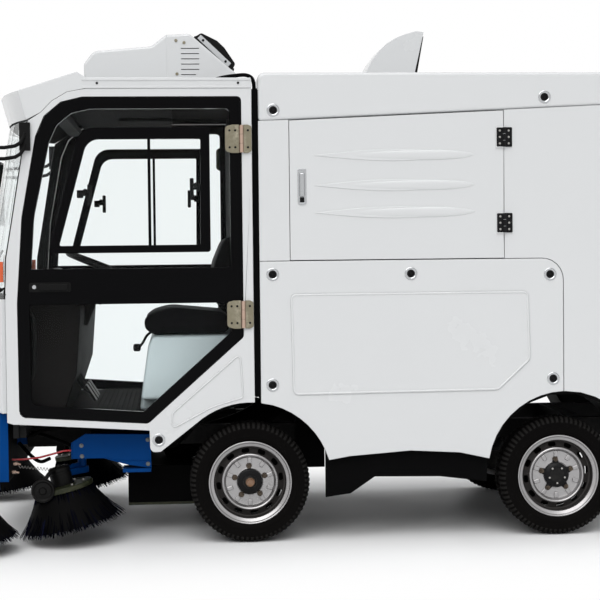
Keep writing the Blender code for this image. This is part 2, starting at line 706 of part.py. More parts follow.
def loft(sections):
    """A closed solid through like loops of points."""
    count = len(sections[0])
    points = [point for section in sections for point in section]
    faces = [tuple(range(count)), tuple(reversed(range(len(points) - count, len(points))))]
    for s in range(len(sections) - 1):
        for i in range(count):
            a = s * count + i
            b = s * count + (i + 1) % count
            faces.append((a, b, b + count, a + count))
    mesh = bpy.data.meshes.new("loft")
    mesh.from_pydata(points, [], faces)
    return outward(mesh)


def ring_mesh(points, radius, resolution=1):
    """A closed tube through the points."""
    curve = bpy.data.curves.new("ring", "CURVE")
    curve.dimensions = "3D"
    curve.bevel_depth = radius
    curve.bevel_resolution = resolution
    spline = curve.splines.new("POLY")
    spline.points.add(len(points) - 1)
    for point, place in zip(spline.points, points):
        point.co = (*place, 1.0)
    spline.use_cyclic_u = True
    return outward(curve_mesh(curve))


def cab_doors():
    """Glazed doors hinged at their rear edge."""
    outer = BODY_HALF_WIDTH
    inner = outer - DOOR_THICKNESS
    for label, side in SIDES:
        axis = (DOOR_AXIS_X, side * (outer + BARREL_OFFSET), 0.0)
        swing = pivot("door_axis_" + label, axis)
        line = door_outline(DOOR_FRAME)
        upper = clip(line, lambda z: z >= WAIST[1], WAIST[1])
        lower = clip(line, lambda z: z <= WAIST[0], WAIST[0])
        door = add("cab_door_" + label, side_plate(side, inner, outer, door_outline(), upper, lower), BLACK, swing)
        for z in DOOR_HINGES:
            leaf = block((DOOR_AXIS_X - 0.055, DOOR_AXIS_X),
                         sorted((side * (outer - 0.002), side * (outer + BARREL_OFFSET))), (z - 0.055, z + 0.055))
            barrel = rod((DOOR_AXIS_X, axis[1], z - 0.055), (DOOR_AXIS_X, axis[1], z + 0.055),
                         BARREL_RADIUS + 0.001, 10)
            join(door, leaf, barrel)
        pane = side_plate(side, inner - TOUCH - SHEET, inner - TOUCH, door_outline(DOOR_FRAME - 0.020))
        add("door_glass_" + label, pane, GLASS, swing)


def rear_body():
    """The closed rear body: hollow shell, roof cap, lower panels, hatches and rear door."""
    w = BODY_HALF_WIDTH
    inner = w - WALL
    arch_centre = (WHEELBASE + REAR_ARCH_SHIFT, WHEEL_Z + REAR_ARCH_RISE)
    rise = BODY_FOOT - arch_centre[1]
    reach = degrees(atan2(rise, (REAR_ARCH_RADIUS ** 2 - rise ** 2) ** 0.5))
    arch = arc(arch_centre, REAR_ARCH_RADIUS, reach, 180.0 - reach, 14)
    silhouette = ([(BODY_FRONT, FRONT_WALL_FOOT), (BODY_FRONT, cap_seam(BODY_FRONT)), (BODY_REAR, cap_seam(BODY_REAR)),
                   (BODY_REAR, BODY_FOOT)] + arch + [(arch[-1][0], FRONT_WALL_FOOT)])
    shell = add("body_shell", plate("XZ", -w, w, silhouette), WHITE)
    hollow_x = (BODY_FRONT + WALL, BODY_REAR - WALL)
    cut(shell, block(hollow_x, (-inner, inner), (BELT, BODY_TOP)),
        block(hollow_x, (-inner, inner), (0.0, BELT - DECK)))
    panel = lower_panel_outline(0.0)
    gap = lower_panel_outline(SEAM)
    hatch = hatch_outline(0.0)
    for side in (-1, 1):
        cut(shell, side_plate(side, inner - 0.001, w + 0.010, gap))
        cut(shell, side_plate(side, inner - 0.010, w + 0.010, hatch_outline(-SEAM)))
        for z in HATCH_HINGES:
            fixed = block((HATCH_REAR + 0.012, HATCH_REAR + 0.036), sorted((side * (w - 0.002), side * (w + 0.004))),
                          (z - 0.042, z + 0.042))
            join(shell, fixed)
    door_hole = block((BODY_REAR - WALL - 0.010, BODY_REAR + 0.010), (-REAR_DOOR_HALF_WIDTH, REAR_DOOR_HALF_WIDTH),
                      (REAR_DOOR_FOOT, REAR_DOOR_TOP))
    cut(shell, door_hole)
    liner_low = REAR_ARCH_RADIUS - 0.012
    liner_high = REAR_ARCH_RADIUS + 0.004
    liner = arc(arch_centre, liner_low, 20.0, 160.0, 7) + arc(arch_centre, liner_high, 160.0, 20.0, 7)
    seam_half = arc(arch_centre, liner_low, 20.0, 80.0, 3) + arc(arch_centre, liner_high, 80.0, 20.0, 3)
    for side in (-1, 1):
        join(shell, side_plate(side, w - 0.300, inner - TOUCH, liner),
             side_plate(side, w - 0.100, inner + 0.010, seam_half))

    cap_line = rounded(((BODY_FRONT, cap_seam(BODY_FRONT) + TOUCH, 0.0), (BODY_REAR, cap_seam(BODY_REAR) + TOUCH, 0.0),
                        (BODY_REAR, BODY_TOP, 0.030), (BODY_FRONT, BODY_TOP, 0.025)))
    cap = add("roof_cap", plate("XZ", -w, w, cap_line), WHITE)
    soften(cap, 0.012, 2, 80.0)
    cut(cap, block((BODY_FRONT + CAP_SHEET, BODY_REAR - CAP_SHEET), (-w + CAP_SHEET, w - CAP_SHEET),
                   (cap_seam(BODY_FRONT) - 0.02, BODY_TOP - CAP_SHEET)))

    for label, side in SIDES:
        skin = add("lower_panel_" + label, side_plate(side, inner, w, panel), WHITE)
        front = HATCH_FRONT + 0.003
        field = rounded(((front, BELT - 0.137, 0.018), (LOWER_PANEL_REAR - 0.150, BELT - 0.137, 0.018),
                         (LOWER_PANEL_REAR - 0.142, BELT - 0.411, 0.030),
                         (LOWER_PANEL_REAR - 0.274, BELT - 0.533, 0.030), (front + 0.006, BELT - 0.539, 0.018)))
        join(skin, side_plate(side, w - 0.002, w + EMBOSS, field))
        flap_line = [(0.307, 0.420), (0.307, 0.181), (0.410, 0.195), (0.510, 0.262), (0.780, 0.257), (0.975, 0.232),
                     (0.985, 0.420)]
        add("side_flap_" + label, side_plate(side, inner - 0.010, inner - TOUCH, flap_line), RUBBER)

        axis = (HATCH_REAR + 0.002, side * (w + BARREL_OFFSET), 0.0)
        swing = pivot("hatch_axis_" + label, axis)
        lid = add("side_hatch_" + label, side_plate(side, inner, w, hatch), WHITE, swing)
        for z in RIB_LEVELS:
            rib = lens(RIB_X, z, RIB_LENGTH, RIB_HEIGHT)
            join(lid, side_plate(side, w - 0.002, w + EMBOSS, rib))
        for z in HATCH_HINGES:
            leaf = block((axis[0] - 0.034, axis[0]), sorted((side * (w - 0.002), side * (w + BARREL_OFFSET))),
                         (z - 0.042, z + 0.042))
            barrel = rod((axis[0], axis[1], z - 0.042), (axis[0], axis[1], z + 0.042), BARREL_RADIUS, 10)
            join(lid, leaf, barrel)

    axis = (BODY_REAR + BARREL_OFFSET, 0.0, REAR_DOOR_TOP + 0.004)
    lift = pivot("rear_door_axis", axis)
    half = REAR_DOOR_HALF_WIDTH - SEAM
    door = add("rear_door", block((BODY_REAR - WALL, BODY_REAR), (-half, half),
                                  (REAR_DOOR_FOOT + SEAM, REAR_DOOR_TOP - SEAM)), WHITE, lift)
    join(door, block((BODY_REAR - 0.002, BODY_REAR + EMBOSS), (-half + 0.08, half - 0.08),
                     (REAR_DOOR_FOOT + 0.10, REAR_DOOR_TOP - 0.12)))
    for y in (-half + 0.198, half - 0.198):
        strap = block((BODY_REAR - 0.002, BODY_REAR + BARREL_OFFSET), (y - 0.035, y + 0.035),
                      (REAR_DOOR_TOP - 0.060, REAR_DOOR_TOP - SEAM - 0.001))
        eye = block((BODY_REAR + 0.0005, BODY_REAR + BARREL_OFFSET - 0.001), (y - 0.034, y + 0.034),
                    (REAR_DOOR_TOP - 0.010, REAR_DOOR_TOP + 0.004))
        barrel = rod((axis[0], y - 0.035, axis[2]), (axis[0], y + 0.035, axis[2]), BARREL_RADIUS, 10)
        join(door, strap, eye, barrel)


def lens(x, z, length, height, steps=8):
    """A long pointed oval."""
    top = [(x - length / 2 + length * k / steps, z + height / 2 * sin(pi * k / steps)) for k in range(steps)]
    foot = [(x + length / 2 - length * k / steps, z - height / 2 * sin(pi * k / steps)) for k in range(steps)]
    return top + foot


def lower_panel_outline(grow):
    """The lower side panel between the two wheel arches."""
    front_arch = arc((0.0, WHEEL_Z), ARCH_RADIUS, 16.0, 81.0, 9)
    arch_centre = (WHEELBASE + REAR_ARCH_SHIFT, WHEEL_Z + REAR_ARCH_RISE)
    rear_arch = arc(arch_centre, REAR_ARCH_RADIUS, 91.0, 171.0, 9)
    rear_x = LOWER_PANEL_REAR + grow
    top = BELT + grow - 0.0003
    corner = arc((LOWER_PANEL_REAR - LOWER_PANEL_CORNER, BELT - LOWER_PANEL_CORNER), LOWER_PANEL_CORNER + grow,
                 90.0, 0.0, 6)
    if grow > 0.0:
        return [(BODY_FRONT - 0.010, 0.200), (BODY_FRONT - 0.010, top)] + corner + [(rear_x, 0.200)]
    return ([(BODY_FRONT, front_arch[-1][1]), (BODY_FRONT, top)] + corner + [(rear_x, rear_arch[0][1])] + rear_arch[1:]
            + [(0.858, 0.358), (0.656, 0.370), (0.405, 0.352)] + front_arch[:-1])


def hatch_outline(inset):
    """The upper side hatch, its top edge along the roof cap's seam."""
    front = HATCH_FRONT + inset
    rear = HATCH_REAR - inset
    foot = BELT + 0.004 + inset
    drop = 0.004 + inset
    return [(front, foot), (rear, foot), (rear, cap_seam(rear) - drop), (front, cap_seam(front) - drop)]


def roof_gear():
    """Cooling unit on the cab and air outlet on the rear body."""
    foot = CAB_ROOF_TOP + 0.0025
    top = CAB_ROOF_TOP
    line = rounded(((-0.020, foot, 0.0), (*COOLER_REAR, 0.020), (*COOLER_PEAK, 0.030), (-0.322, top + 0.223, 0.020),
                    (-0.384, top + 0.175, 0.030), (-0.628, top + 0.155, 0.045), (-0.668, top + 0.101, 0.015),
                    (-0.668, top + 0.0255, 0.0), (-0.640, foot, 0.0)), 3)
    housing = add("cooler_housing", plate("XZ", -COOLER_HALF_WIDTH, COOLER_HALF_WIDTH, line), WHITE)
    run = Vector((COOLER_REAR[0] - COOLER_PEAK[0], 0.0, COOLER_REAR[1] - COOLER_PEAK[1]))
    length = run.length
    slope = atan2(-run.z, run.x)
    guard = block((0.020, length - 0.020), (-0.270, 0.270), (0.0, 0.016), 0.004, 1)
    place = Matrix.Translation((COOLER_PEAK[0], 0.0, COOLER_PEAK[1])) @ Matrix.Rotation(slope, 4, "Y")
    guard.transform(Matrix.Translation((0.0, 0.0, 0.0008)))
    guard.transform(place)
    shroud = add("cooler_fan_guard", guard, BLACK)
    for y in (-0.135, 0.135):
        middle = place @ Vector((length / 2, y, 0.010))
        tip = place @ Vector((length / 2, y, 0.026))
        join(shroud, rod(middle, tip, 0.095, 24))

    foot = BODY_TOP + TOUCH
    rear = SCOOP_X + SCOOP_LENGTH
    back = eased(((SCOOP_X, foot), (SCOOP_X + 0.015, foot + 0.074), (SCOOP_X + 0.070, foot + 0.160),
                  (SCOOP_X + 0.146, foot + 0.217), (SCOOP_X + 0.236, foot + SCOOP_HEIGHT)), 2)
    outer = [tuple(p) for p in back] + [(rear, foot + SCOOP_HEIGHT - 0.004), (rear - 0.055, foot)]
    scoop = add("roof_scoop", plate("XZ", -SCOOP_HALF_WIDTH, SCOOP_HALF_WIDTH, outer), WHITE)
    lining = eased(((SCOOP_X + 0.014, foot + 0.012), (SCOOP_X + 0.028, foot + 0.070),
                    (SCOOP_X + 0.080, foot + 0.151), (SCOOP_X + 0.152, foot + 0.205),
                    (SCOOP_X + 0.238, foot + SCOOP_HEIGHT - 0.012)), 2)
    hollow = [tuple(p) for p in lining] + [(rear + 0.040, foot + SCOOP_HEIGHT - 0.020), (rear + 0.020, foot + 0.012)]
    cut(scoop, plate("XZ", -SCOOP_HALF_WIDTH + 0.010, SCOOP_HALF_WIDTH - 0.010, hollow))
    flange = block((SCOOP_X - 0.030, rear - 0.020), (-SCOOP_HALF_WIDTH - 0.030, SCOOP_HALF_WIDTH + 0.030),
                   (foot, foot + 0.008))
    join(scoop, flange)


def bumpers_and_lamps():
    """Blue front bumper, black rear bumper, lamps and mirrors."""
    plan = rounded(((BUMPER_REAR, -BUMPER_HALF_WIDTH, 0.0), (BUMPER_REAR, BUMPER_HALF_WIDTH, 0.0),
                    (BUMPER_FRONT + 0.040, BUMPER_HALF_WIDTH, 0.050), (BUMPER_FRONT - 0.030, 0.0, 0.9),
                    (BUMPER_FRONT + 0.040, -BUMPER_HALF_WIDTH, 0.050)))
    bumper = add("front_bumper", plate("XY", BUMPER_Z[0], BUMPER_Z[1], plan), BLUE)
    for side in (-1, 1):
        strut_y = sorted((side * 0.285, side * 0.315))
        join(bumper, block((BUMPER_REAR - 0.002, RAIL_FRONT - TOUCH), strut_y, (0.380, 0.440)))

    rear = add("rear_bumper", block((BODY_REAR + TOUCH, TAIL_END), (-BUMPER_HALF_WIDTH, BUMPER_HALF_WIDTH),
                                    (0.345, 0.500), 0.006, 1), BLACK)
    for label, side in SIDES:
        lamp_y = sorted((side * (BODY_HALF_WIDTH - 0.094), side * (BODY_HALF_WIDTH - 0.008)))
        tail = block((BODY_REAR + TOUCH, BODY_REAR + 0.028), lamp_y, (0.480, 0.900), 0.006, 1)
        join(rear, tail)
        add("indicator_" + label, indicator(side), AMBER)
        mirror(label, side)


def indicator(side):
    """A lamp block at the pillar; its rear face follows the windshield."""
    rest = nose_rest(WINDSHIELD_HALF_WIDTH) - GLASS_SHEET * SLANT - TOUCH
    w = BODY_HALF_WIDTH
    seat = [(nose_x(cab_front_x(INDICATOR_Z[0]), y) + rest, side * y) for y in (w - 0.044, w - 0.028, w - 0.010)]
    front = seat[0][0] - 0.036
    line = seat + [(seat[-1][0], side * (w + 0.012)), (front + 0.010, side * (w + 0.012)),
                   (front, side * (w + 0.002)), (front, side * (w - 0.036)), (front + 0.010, side * (w - 0.044))]
    return plate("XY", INDICATOR_Z[0], INDICATOR_Z[1], line)


def mirror(label, side):
    """A mirror head on two tubes that reach forward from the front pillar."""
    w = BODY_HALF_WIDTH
    foot_x = cab_front_x(MIRROR_Z + 0.084)
    plate_y = sorted((side * (w + TOUCH), side * (w + 0.014)))
    plate_z = (MIRROR_Z + 0.034, MIRROR_Z + 0.146)
    base = add("mirror_" + label, block((foot_x - 0.020, foot_x + 0.023), plate_y, plate_z), BLACK)
    head_x = foot_x - 0.265
    head_y = w + 0.110
    for z in (MIRROR_Z, MIRROR_Z + 0.044):
        points = eased(((foot_x + 0.001, side * (w + 0.010), z + 0.060),
                        (foot_x - 0.015, side * (w + 0.024), z + 0.020),
                        (foot_x - 0.075, side * (w + 0.050), z), (head_x, side * head_y, z)), 2)
        join(base, pipe(points, 0.008, 1))
    join(base, block((head_x - 0.022, head_x + 0.022), sorted((side * (head_y - 0.085), side * (head_y + 0.085))),
                     (MIRROR_Z - 0.236, MIRROR_Z + 0.074), 0.014, 2))


def suction():
    """Suction mouth ahead of the front axle, its duct and the red pressure hose."""
    mouth = add("suction_mouth", block((-0.505, -0.215), (-0.370, 0.370), (0.118, 0.285)), PLASTIC)
    cut(mouth, block((-0.495, -0.225), (-0.360, 0.360), (0.050, 0.275)))
    duct_x = BODY_FRONT + 0.119
    path = eased(((-0.330, 0.0, 0.262), (-0.200, 0.0, 0.345),
                  (BODY_FRONT - 0.026, 0.0, 0.420), (BODY_FRONT + 0.094, 0.0, 0.520),
                  (duct_x, 0.0, 0.660), (duct_x, 0.0, 0.740)), 3) + [Vector((duct_x, 0.0, BELT - DECK - TOUCH))]
    join(mouth, pipe(path, DUCT_RADIUS, 3))


def arm_brackets():
    """Blue brackets under the cab that carry the middle brushes, and the red hose to the left one."""
    reach = BRACKET_Y
    for label, side in SIDES:
        line = [(-0.731, BRACKET_PLATE), (-0.731, 0.411), (-0.673, 0.447), (-0.407, 0.441), (-0.403, 0.300),
                (-0.500, 0.316), (-0.600, BRACKET_PLATE)]
        bracket = add("arm_bracket_" + label, side_plate(side, reach - 0.016, reach, line), BLUE)
        inward = sorted((side * (RAIL_Y + RAIL_WIDTH / 2 + TOUCH), side * (reach - 0.002)))
        join(bracket, block((-0.660, -0.410), inward, (0.420, 0.436)),
             block((-0.728, -0.640), sorted((side * 0.385, side * (reach - 0.002))), (BRACKET_PLATE, 0.361)),
             block((-0.656, -0.640), sorted((side * 0.385, side * (reach - 0.002))), (0.350, 0.430)),
             block((-0.520, -0.405), sorted((side * (reach - 0.100), side * (reach + 0.010))), (0.286, 0.301)))
    hose_y = 0.025 - BRACKET_Y
    line = eased(((BUMPER_REAR + TOUCH, hose_y, 0.344), (-0.945, hose_y, 0.344), (-0.860, hose_y - 0.009, 0.352),
                  (-0.762, hose_y - 0.017, 0.378), (-0.731 - 2 * TOUCH, hose_y - 0.017, 0.378)), 2)
    add("red_hose", pipe(line, 0.004, 2), RED)


def brushes():
    """Side brushes: a swinging arm with its motor, and a tilted disc with a skirt of bristles."""
    for label, side in SIDES:
        for end, x, y, height, disc_radius, tip_radius, tilt, pivot_x, pivot_y in BRUSH_TABLE:
            y *= side
            pivot_y *= side
            centre = Vector((x, y, height))
            lean = Matrix.Rotation(radians(-tilt), 4, "Y")
            down = (lean @ Vector((0.0, 0.0, -1.0))).normalized()
            up = -down
            swing = pivot("arm_axis_%s_%s" % (end, label), (pivot_x, pivot_y, height))
            spin = pivot("brush_axis_%s_%s" % (end, label), tuple(centre), swing)
            disc = rod(centre - up * DISC_THICKNESS / 2, centre + up * DISC_THICKNESS / 2, disc_radius, BRUSH_SIDES)
            brush = add("brush_%s_%s" % (end, label), disc, BRISTLE, spin)
            skirt = rod(centre - up * (DISC_THICKNESS / 2 - 0.002), centre + down * BRISTLE_LENGTH, disc_radius - 0.008,
                        BRUSH_SIDES, tip_radius)
            join(brush, skirt)
            cut(brush, rod(centre + down * (DISC_THICKNESS / 2), centre + down * (BRISTLE_LENGTH + 0.010),
                           disc_radius - BRISTLE_BAND, BRUSH_SIDES, tip_radius - BRISTLE_BAND))
            motor_foot = centre + up * (DISC_THICKNESS / 2 + TOUCH)
            motor_top = centre + up * (DISC_THICKNESS / 2 + MOTOR_HEIGHT)
            arm = add("brush_arm_%s_%s" % (end, label), rod(motor_foot, motor_top, MOTOR_RADIUS, 14), BLUE, swing)
            level = (height + disc_radius * sin(radians(tilt)) + DISC_THICKNESS / 2 + BRUSH_CLEARANCE
                     + ARM_HALF_HEIGHT)
            seat = BUMPER_Z[0] if end == "front" else BRACKET_PLATE
            join(arm, rod((pivot_x, pivot_y, level - 0.016), (pivot_x, pivot_y, seat - TOUCH), PIVOT_RADIUS, 12))
            run = Vector((x - pivot_x, y - pivot_y, 0.0))
            bar = block((0.0, run.length), (-0.022, 0.022), (-ARM_HALF_HEIGHT, ARM_HALF_HEIGHT))
            bar.transform(Matrix.Translation((pivot_x, pivot_y, level))
                          @ Matrix.Rotation(atan2(run.y, run.x), 4, "Z"))
            join(arm, bar)


def build():
    chassis()
    wheels()
    cab()
    cab_doors()
    rear_body()
    roof_gear()
    bumpers_and_lamps()
    suction()
    arm_brackets()
    brushes()


build()
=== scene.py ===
"""Looks of the compact street sweeper truck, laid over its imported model.

Pieces are modelled in truck coordinates, X from the front axle towards the tail, Y to the right
hand side and Z up, and settle() moves each one to the model's own place.
"""
import json
import random
from math import atan2, cos, pi, radians, sin

import bmesh
import bpy
from mathutils import Matrix, Vector

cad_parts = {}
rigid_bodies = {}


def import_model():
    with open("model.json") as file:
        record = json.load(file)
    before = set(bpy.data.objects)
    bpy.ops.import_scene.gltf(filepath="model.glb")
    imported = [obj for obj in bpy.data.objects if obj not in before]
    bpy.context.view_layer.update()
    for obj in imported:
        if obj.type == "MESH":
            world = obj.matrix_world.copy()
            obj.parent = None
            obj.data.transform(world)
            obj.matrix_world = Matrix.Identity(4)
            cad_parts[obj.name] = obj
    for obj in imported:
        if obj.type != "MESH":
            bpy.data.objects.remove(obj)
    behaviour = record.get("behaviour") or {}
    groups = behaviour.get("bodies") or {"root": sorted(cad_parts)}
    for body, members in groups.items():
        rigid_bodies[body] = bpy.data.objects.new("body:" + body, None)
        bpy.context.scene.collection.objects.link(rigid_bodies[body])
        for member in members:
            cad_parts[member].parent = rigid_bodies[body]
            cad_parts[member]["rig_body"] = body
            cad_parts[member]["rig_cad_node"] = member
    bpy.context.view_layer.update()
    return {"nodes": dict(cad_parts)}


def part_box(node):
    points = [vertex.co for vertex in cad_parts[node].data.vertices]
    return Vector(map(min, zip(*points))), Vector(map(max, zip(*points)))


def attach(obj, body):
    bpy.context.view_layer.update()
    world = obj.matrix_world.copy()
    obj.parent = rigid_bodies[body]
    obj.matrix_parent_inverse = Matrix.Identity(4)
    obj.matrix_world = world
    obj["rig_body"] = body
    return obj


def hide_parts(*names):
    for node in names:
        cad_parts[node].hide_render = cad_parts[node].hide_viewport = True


bl_info = {
    "name": "Street sweeper looks",
    "version": (1, 0, 0),
    "blender": (4, 5, 0),
    "location": "View3D > Sidebar > Sweeper",
    "description": "Models and paints the visible pieces of a street sweeper truck",
    "category": "Object",
}

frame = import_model()
NODES = frame["nodes"]


def middle_of(node):
    low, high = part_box(node)
    return (low + high) / 2


FRONT_HUB = middle_of("tyre_front_left")
AXLE_X = FRONT_HUB.x
WHEELBASE = middle_of("tyre_rear_left").x - AXLE_X
HALF_TRACK = -FRONT_HUB.y
WHEEL_Z = FRONT_HUB.z
HALF_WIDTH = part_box("roof_cap")[1].y
TAIL_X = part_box("body_shell")[1].x - AXLE_X
SIDES = (("left", -1), ("right", 1))
DEFAULT_EDGE = 0.0016
MATERIALS = {}


# Settings

class SweeperColours(bpy.types.PropertyGroup):
    """Colours of the truck's finishes."""
    body: bpy.props.FloatVectorProperty(
        name="Body", description="Paint of the cab and body", subtype="COLOR", size=3,
        default=(0.648, 0.657, 0.663), min=0.0, max=1.0)
    arm: bpy.props.FloatVectorProperty(
        name="Arms", description="Paint of the bumper, brackets and brush arms", subtype="COLOR", size=3,
        default=(0.0, 0.047, 0.208), min=0.0, max=1.0)
    lamp: bpy.props.FloatVectorProperty(
        name="Turn lamps", description="Plastic of the turn lamps", subtype="COLOR", size=3,
        default=(0.62, 0.08, 0.006), min=0.0, max=1.0)


class SweeperSizes(bpy.types.PropertyGroup):
    """Sizes of the repeated details."""
    tyre_steps: bpy.props.IntProperty(
        name="Tyre steps", description="Faces round each tyre, two for each tread lug", default=144, min=48, max=240)
    rim_steps: bpy.props.IntProperty(
        name="Rim steps", description="Faces round each wheel rim", default=96, min=32, max=192)
    strands: bpy.props.IntProperty(
        name="Strands", description="Bristles in each tuft of a brush", default=6, min=1, max=12)
    edge: bpy.props.FloatProperty(
        name="Panel edge", description="Rounding along the edges of the sheet panels", default=DEFAULT_EDGE,
        min=0.0005, max=0.004, unit="LENGTH")
    fastener: bpy.props.FloatProperty(
        name="Fastener radius", description="Outer radius of the quarter turn fasteners", default=0.0262,
        min=0.01, max=0.03, unit="LENGTH")


def colours():
    return bpy.context.scene.sweeper_colours


def sizes():
    return bpy.context.scene.sweeper_sizes


# Modelling by operator

def clear():
    """Nothing selected, in object mode."""
    if bpy.context.mode != "OBJECT":
        bpy.ops.object.mode_set(mode="OBJECT")
    bpy.ops.object.select_all(action="DESELECT")


def only(obj, *more):
    clear()
    for thing in (obj, *more):
        thing.select_set(True)
    bpy.context.view_layer.objects.active = obj
    return obj


def edit(obj, kind="FACE"):
    """Edit mode with nothing selected."""
    only(obj)
    bpy.ops.object.mode_set(mode="EDIT")
    bpy.ops.mesh.select_mode(type=kind)
    bpy.ops.mesh.select_all(action="DESELECT")
    return obj


def leave():
    bpy.ops.object.mode_set(mode="OBJECT")


def mark(obj, test):
    """Select the faces whose middle and normal pass the test."""
    work = bmesh.from_edit_mesh(obj.data)
    for face in work.faces:
        if test(face.calc_center_median(), face.normal):
            face.select_set(True)
    bmesh.update_edit_mesh(obj.data)


def place(obj, matrix=None):
    """Put the object's place into its mesh."""
    if matrix is not None:
        obj.matrix_world = matrix @ obj.matrix_world
    only(obj)
    bpy.ops.object.transform_apply(location=True, rotation=True, scale=True)
    return obj


def outward(obj, merge=1e-5):
    """Merge doubles and turn the faces out."""
    edit(obj, "VERT")
    bpy.ops.mesh.select_all(action="SELECT")
    bpy.ops.mesh.remove_doubles(threshold=merge)
    bpy.ops.mesh.normals_make_consistent(inside=False)
    leave()
    return obj


def apply(obj, kind, **values):
    """Add one modifier and apply it."""
    step = obj.modifiers.new(kind.lower(), kind)
    for key, value in values.items():
        setattr(step, key, value)
    only(obj)
    bpy.ops.object.modifier_apply(modifier=step.name)
    return obj


def round_edges(obj, width, segments=2, angle=30.0, clamp=False):
    if width <= 0.0:
        return obj
    return apply(obj, "BEVEL", width=width, segments=segments, limit_method="ANGLE",
                 angle_limit=radians(angle), use_clamp_overlap=clamp, harden_normals=False)


def copy(obj, name):
    only(obj)
    bpy.ops.object.duplicate(linked=False)
    twin = bpy.context.active_object
    twin.name = name
    return twin


def fuse(name, things):
    """One object out of several."""
    if len(things) > 1:
        only(*things)
        bpy.ops.object.join()
    things[0].name = name
    return things[0]


def cut_with(obj, tool):
    apply(obj, "BOOLEAN", operation="DIFFERENCE", object=tool, solver="EXACT")
    bpy.data.objects.remove(tool, do_unlink=True)
    return obj


def mirrored(obj, name):
    """The same piece on the other side of the truck."""
    twin = copy(obj, name)
    twin.scale.y = -1.0
    place(twin)
    return outward(twin, 1e-7)


def brick(name, low, high, width=0.002, segments=2):
    """A block with rounded edges between two corners."""
    clear()
    low = Vector(low)
    high = Vector(high)
    bpy.ops.mesh.primitive_cube_add(size=1.0, location=(low + high) / 2)
    obj = bpy.context.active_object
    obj.name = name
    obj.scale = [abs(a - b) for a, b in zip(low, high)]
    place(obj)
    return round_edges(obj, width, segments)


def drum(name, first, last, radius, end_radius=None, sides=32, width=0.0):
    """A round bar or cone between two points."""
    clear()
    first = Vector(first)
    last = Vector(last)
    axis = last - first
    bpy.ops.mesh.primitive_cone_add(
        vertices=sides, radius1=radius, radius2=radius if end_radius is None else end_radius,
        depth=axis.length, location=(first + last) / 2, rotation=axis.to_track_quat("Z", "Y").to_euler())
    obj = bpy.context.active_object
    obj.name = name
    place(obj)
    return round_edges(obj, width, 2, 50.0)


def turned(spot, degrees, axis="X"):
    """A place at a spot, turned about one axis."""
    return Matrix.Translation(spot) @ Matrix.Rotation(radians(degrees), 4, axis)


def round_spots(count, radius, start=0.0):
    """Spots spread round a circle, the first one at the start angle."""
    angles = [start + 2 * pi * k / count for k in range(count)]
    return [(radius * cos(angle), radius * sin(angle)) for angle in angles]


def row(first, step, count):
    """Evenly spaced values."""
    return [first + step * k for k in range(count)]


def heads(name, spots, inner, outer, radius, end_radius, sides=16, width=0.0006, plane="XZ"):
    """Heads of screws or bolts on spots of a plane, each from its inner to its outer end."""
    at = PLANES[plane]
    return [drum(name, at(u, v, inner), at(u, v, outer), radius, end_radius, sides, width) for u, v in spots]


def blocks_round(name, low, high, width, segments, count, start):
    """Blocks spread round the Z axis; start is the first one's share of a step."""
    blocks = []
    for k in range(count):
        block = brick(name, low, high, width, segments)
        blocks.append(place(block, Matrix.Rotation(2 * pi * (k + start) / count, 4, "Z")))
    return blocks


def trace(name, points, closed=True):
    """Draw a line by extruding one corner after another; stays in edit mode."""
    clear()
    points = [Vector(point) for point in points]
    bpy.ops.mesh.primitive_plane_add(size=0.01, location=points[0])
    obj = bpy.context.active_object
    obj.name = name
    place(obj)
    edit(obj, "VERT")
    bpy.ops.mesh.select_all(action="SELECT")
    bpy.ops.mesh.merge(type="CENTER")
    for here, there in zip(points, points[1:]):
        bpy.ops.mesh.extrude_vertices_move(TRANSFORM_OT_translate={"value": there - here})
    if closed:
        bpy.ops.mesh.select_all(action="SELECT")
        bpy.ops.mesh.edge_face_add()
    return obj


PLANES = {"XZ": lambda u, v, d: (u, d, v), "YZ": lambda u, v, d: (d, u, v), "XY": lambda u, v, d: (u, v, d)}


def slab(name, plane, outline, low, high, width=0.0015, segments=2, hole=None):
    """A plate with an outline, and with a hole of as many corners."""
    at = PLANES[plane]
    obj = trace(name, [at(u, v, low) for u, v in outline])
    leave()
    if hole:
        inner = trace(name + "_hole", [at(u, v, low) for u, v in hole])
        leave()
        fuse(name, [obj, inner])
        edit(obj, "EDGE")
        bpy.ops.mesh.select_all(action="SELECT")
        bpy.ops.mesh.delete(type="ONLY_FACE")
        bpy.ops.mesh.select_all(action="SELECT")
        bpy.ops.mesh.bridge_edge_loops()
    else:
        edit(obj)
    bpy.ops.mesh.select_all(action="SELECT")
    bpy.ops.mesh.extrude_region_move(TRANSFORM_OT_translate={"value": Vector(at(0.0, 0.0, high - low))})
    leave()
    outward(obj)
    return round_edges(obj, width, segments)


def lathe(name, profile, steps=64, closed=True, matrix=None):
    """A profile of radius and height, spun about Z and then put in place."""
    obj = trace(name, [(radius, 0.0, height) for radius, height in profile], closed)
    if closed:
        bpy.ops.mesh.delete(type="ONLY_FACE")
    bpy.ops.mesh.select_all(action="SELECT")
    bpy.ops.mesh.spin(steps=steps, angle=2 * pi, center=(0.0, 0.0, 0.0), axis=(0.0, 0.0, 1.0))
    leave()
    outward(obj)
    return place(obj, matrix) if matrix is not None else obj


def tube(name, points, radius, resolution=4):
    """A round bar along a line of points."""
    obj = trace(name, points, closed=False)
    leave()
    bpy.ops.object.convert(target="CURVE")
    obj = bpy.context.active_object
    obj.data.bevel_depth = radius
    obj.data.bevel_resolution = resolution
    obj.data.use_fill_caps = True
    bpy.ops.object.convert(target="MESH")
    obj = bpy.context.active_object
    obj.name = name
    return outward(obj)


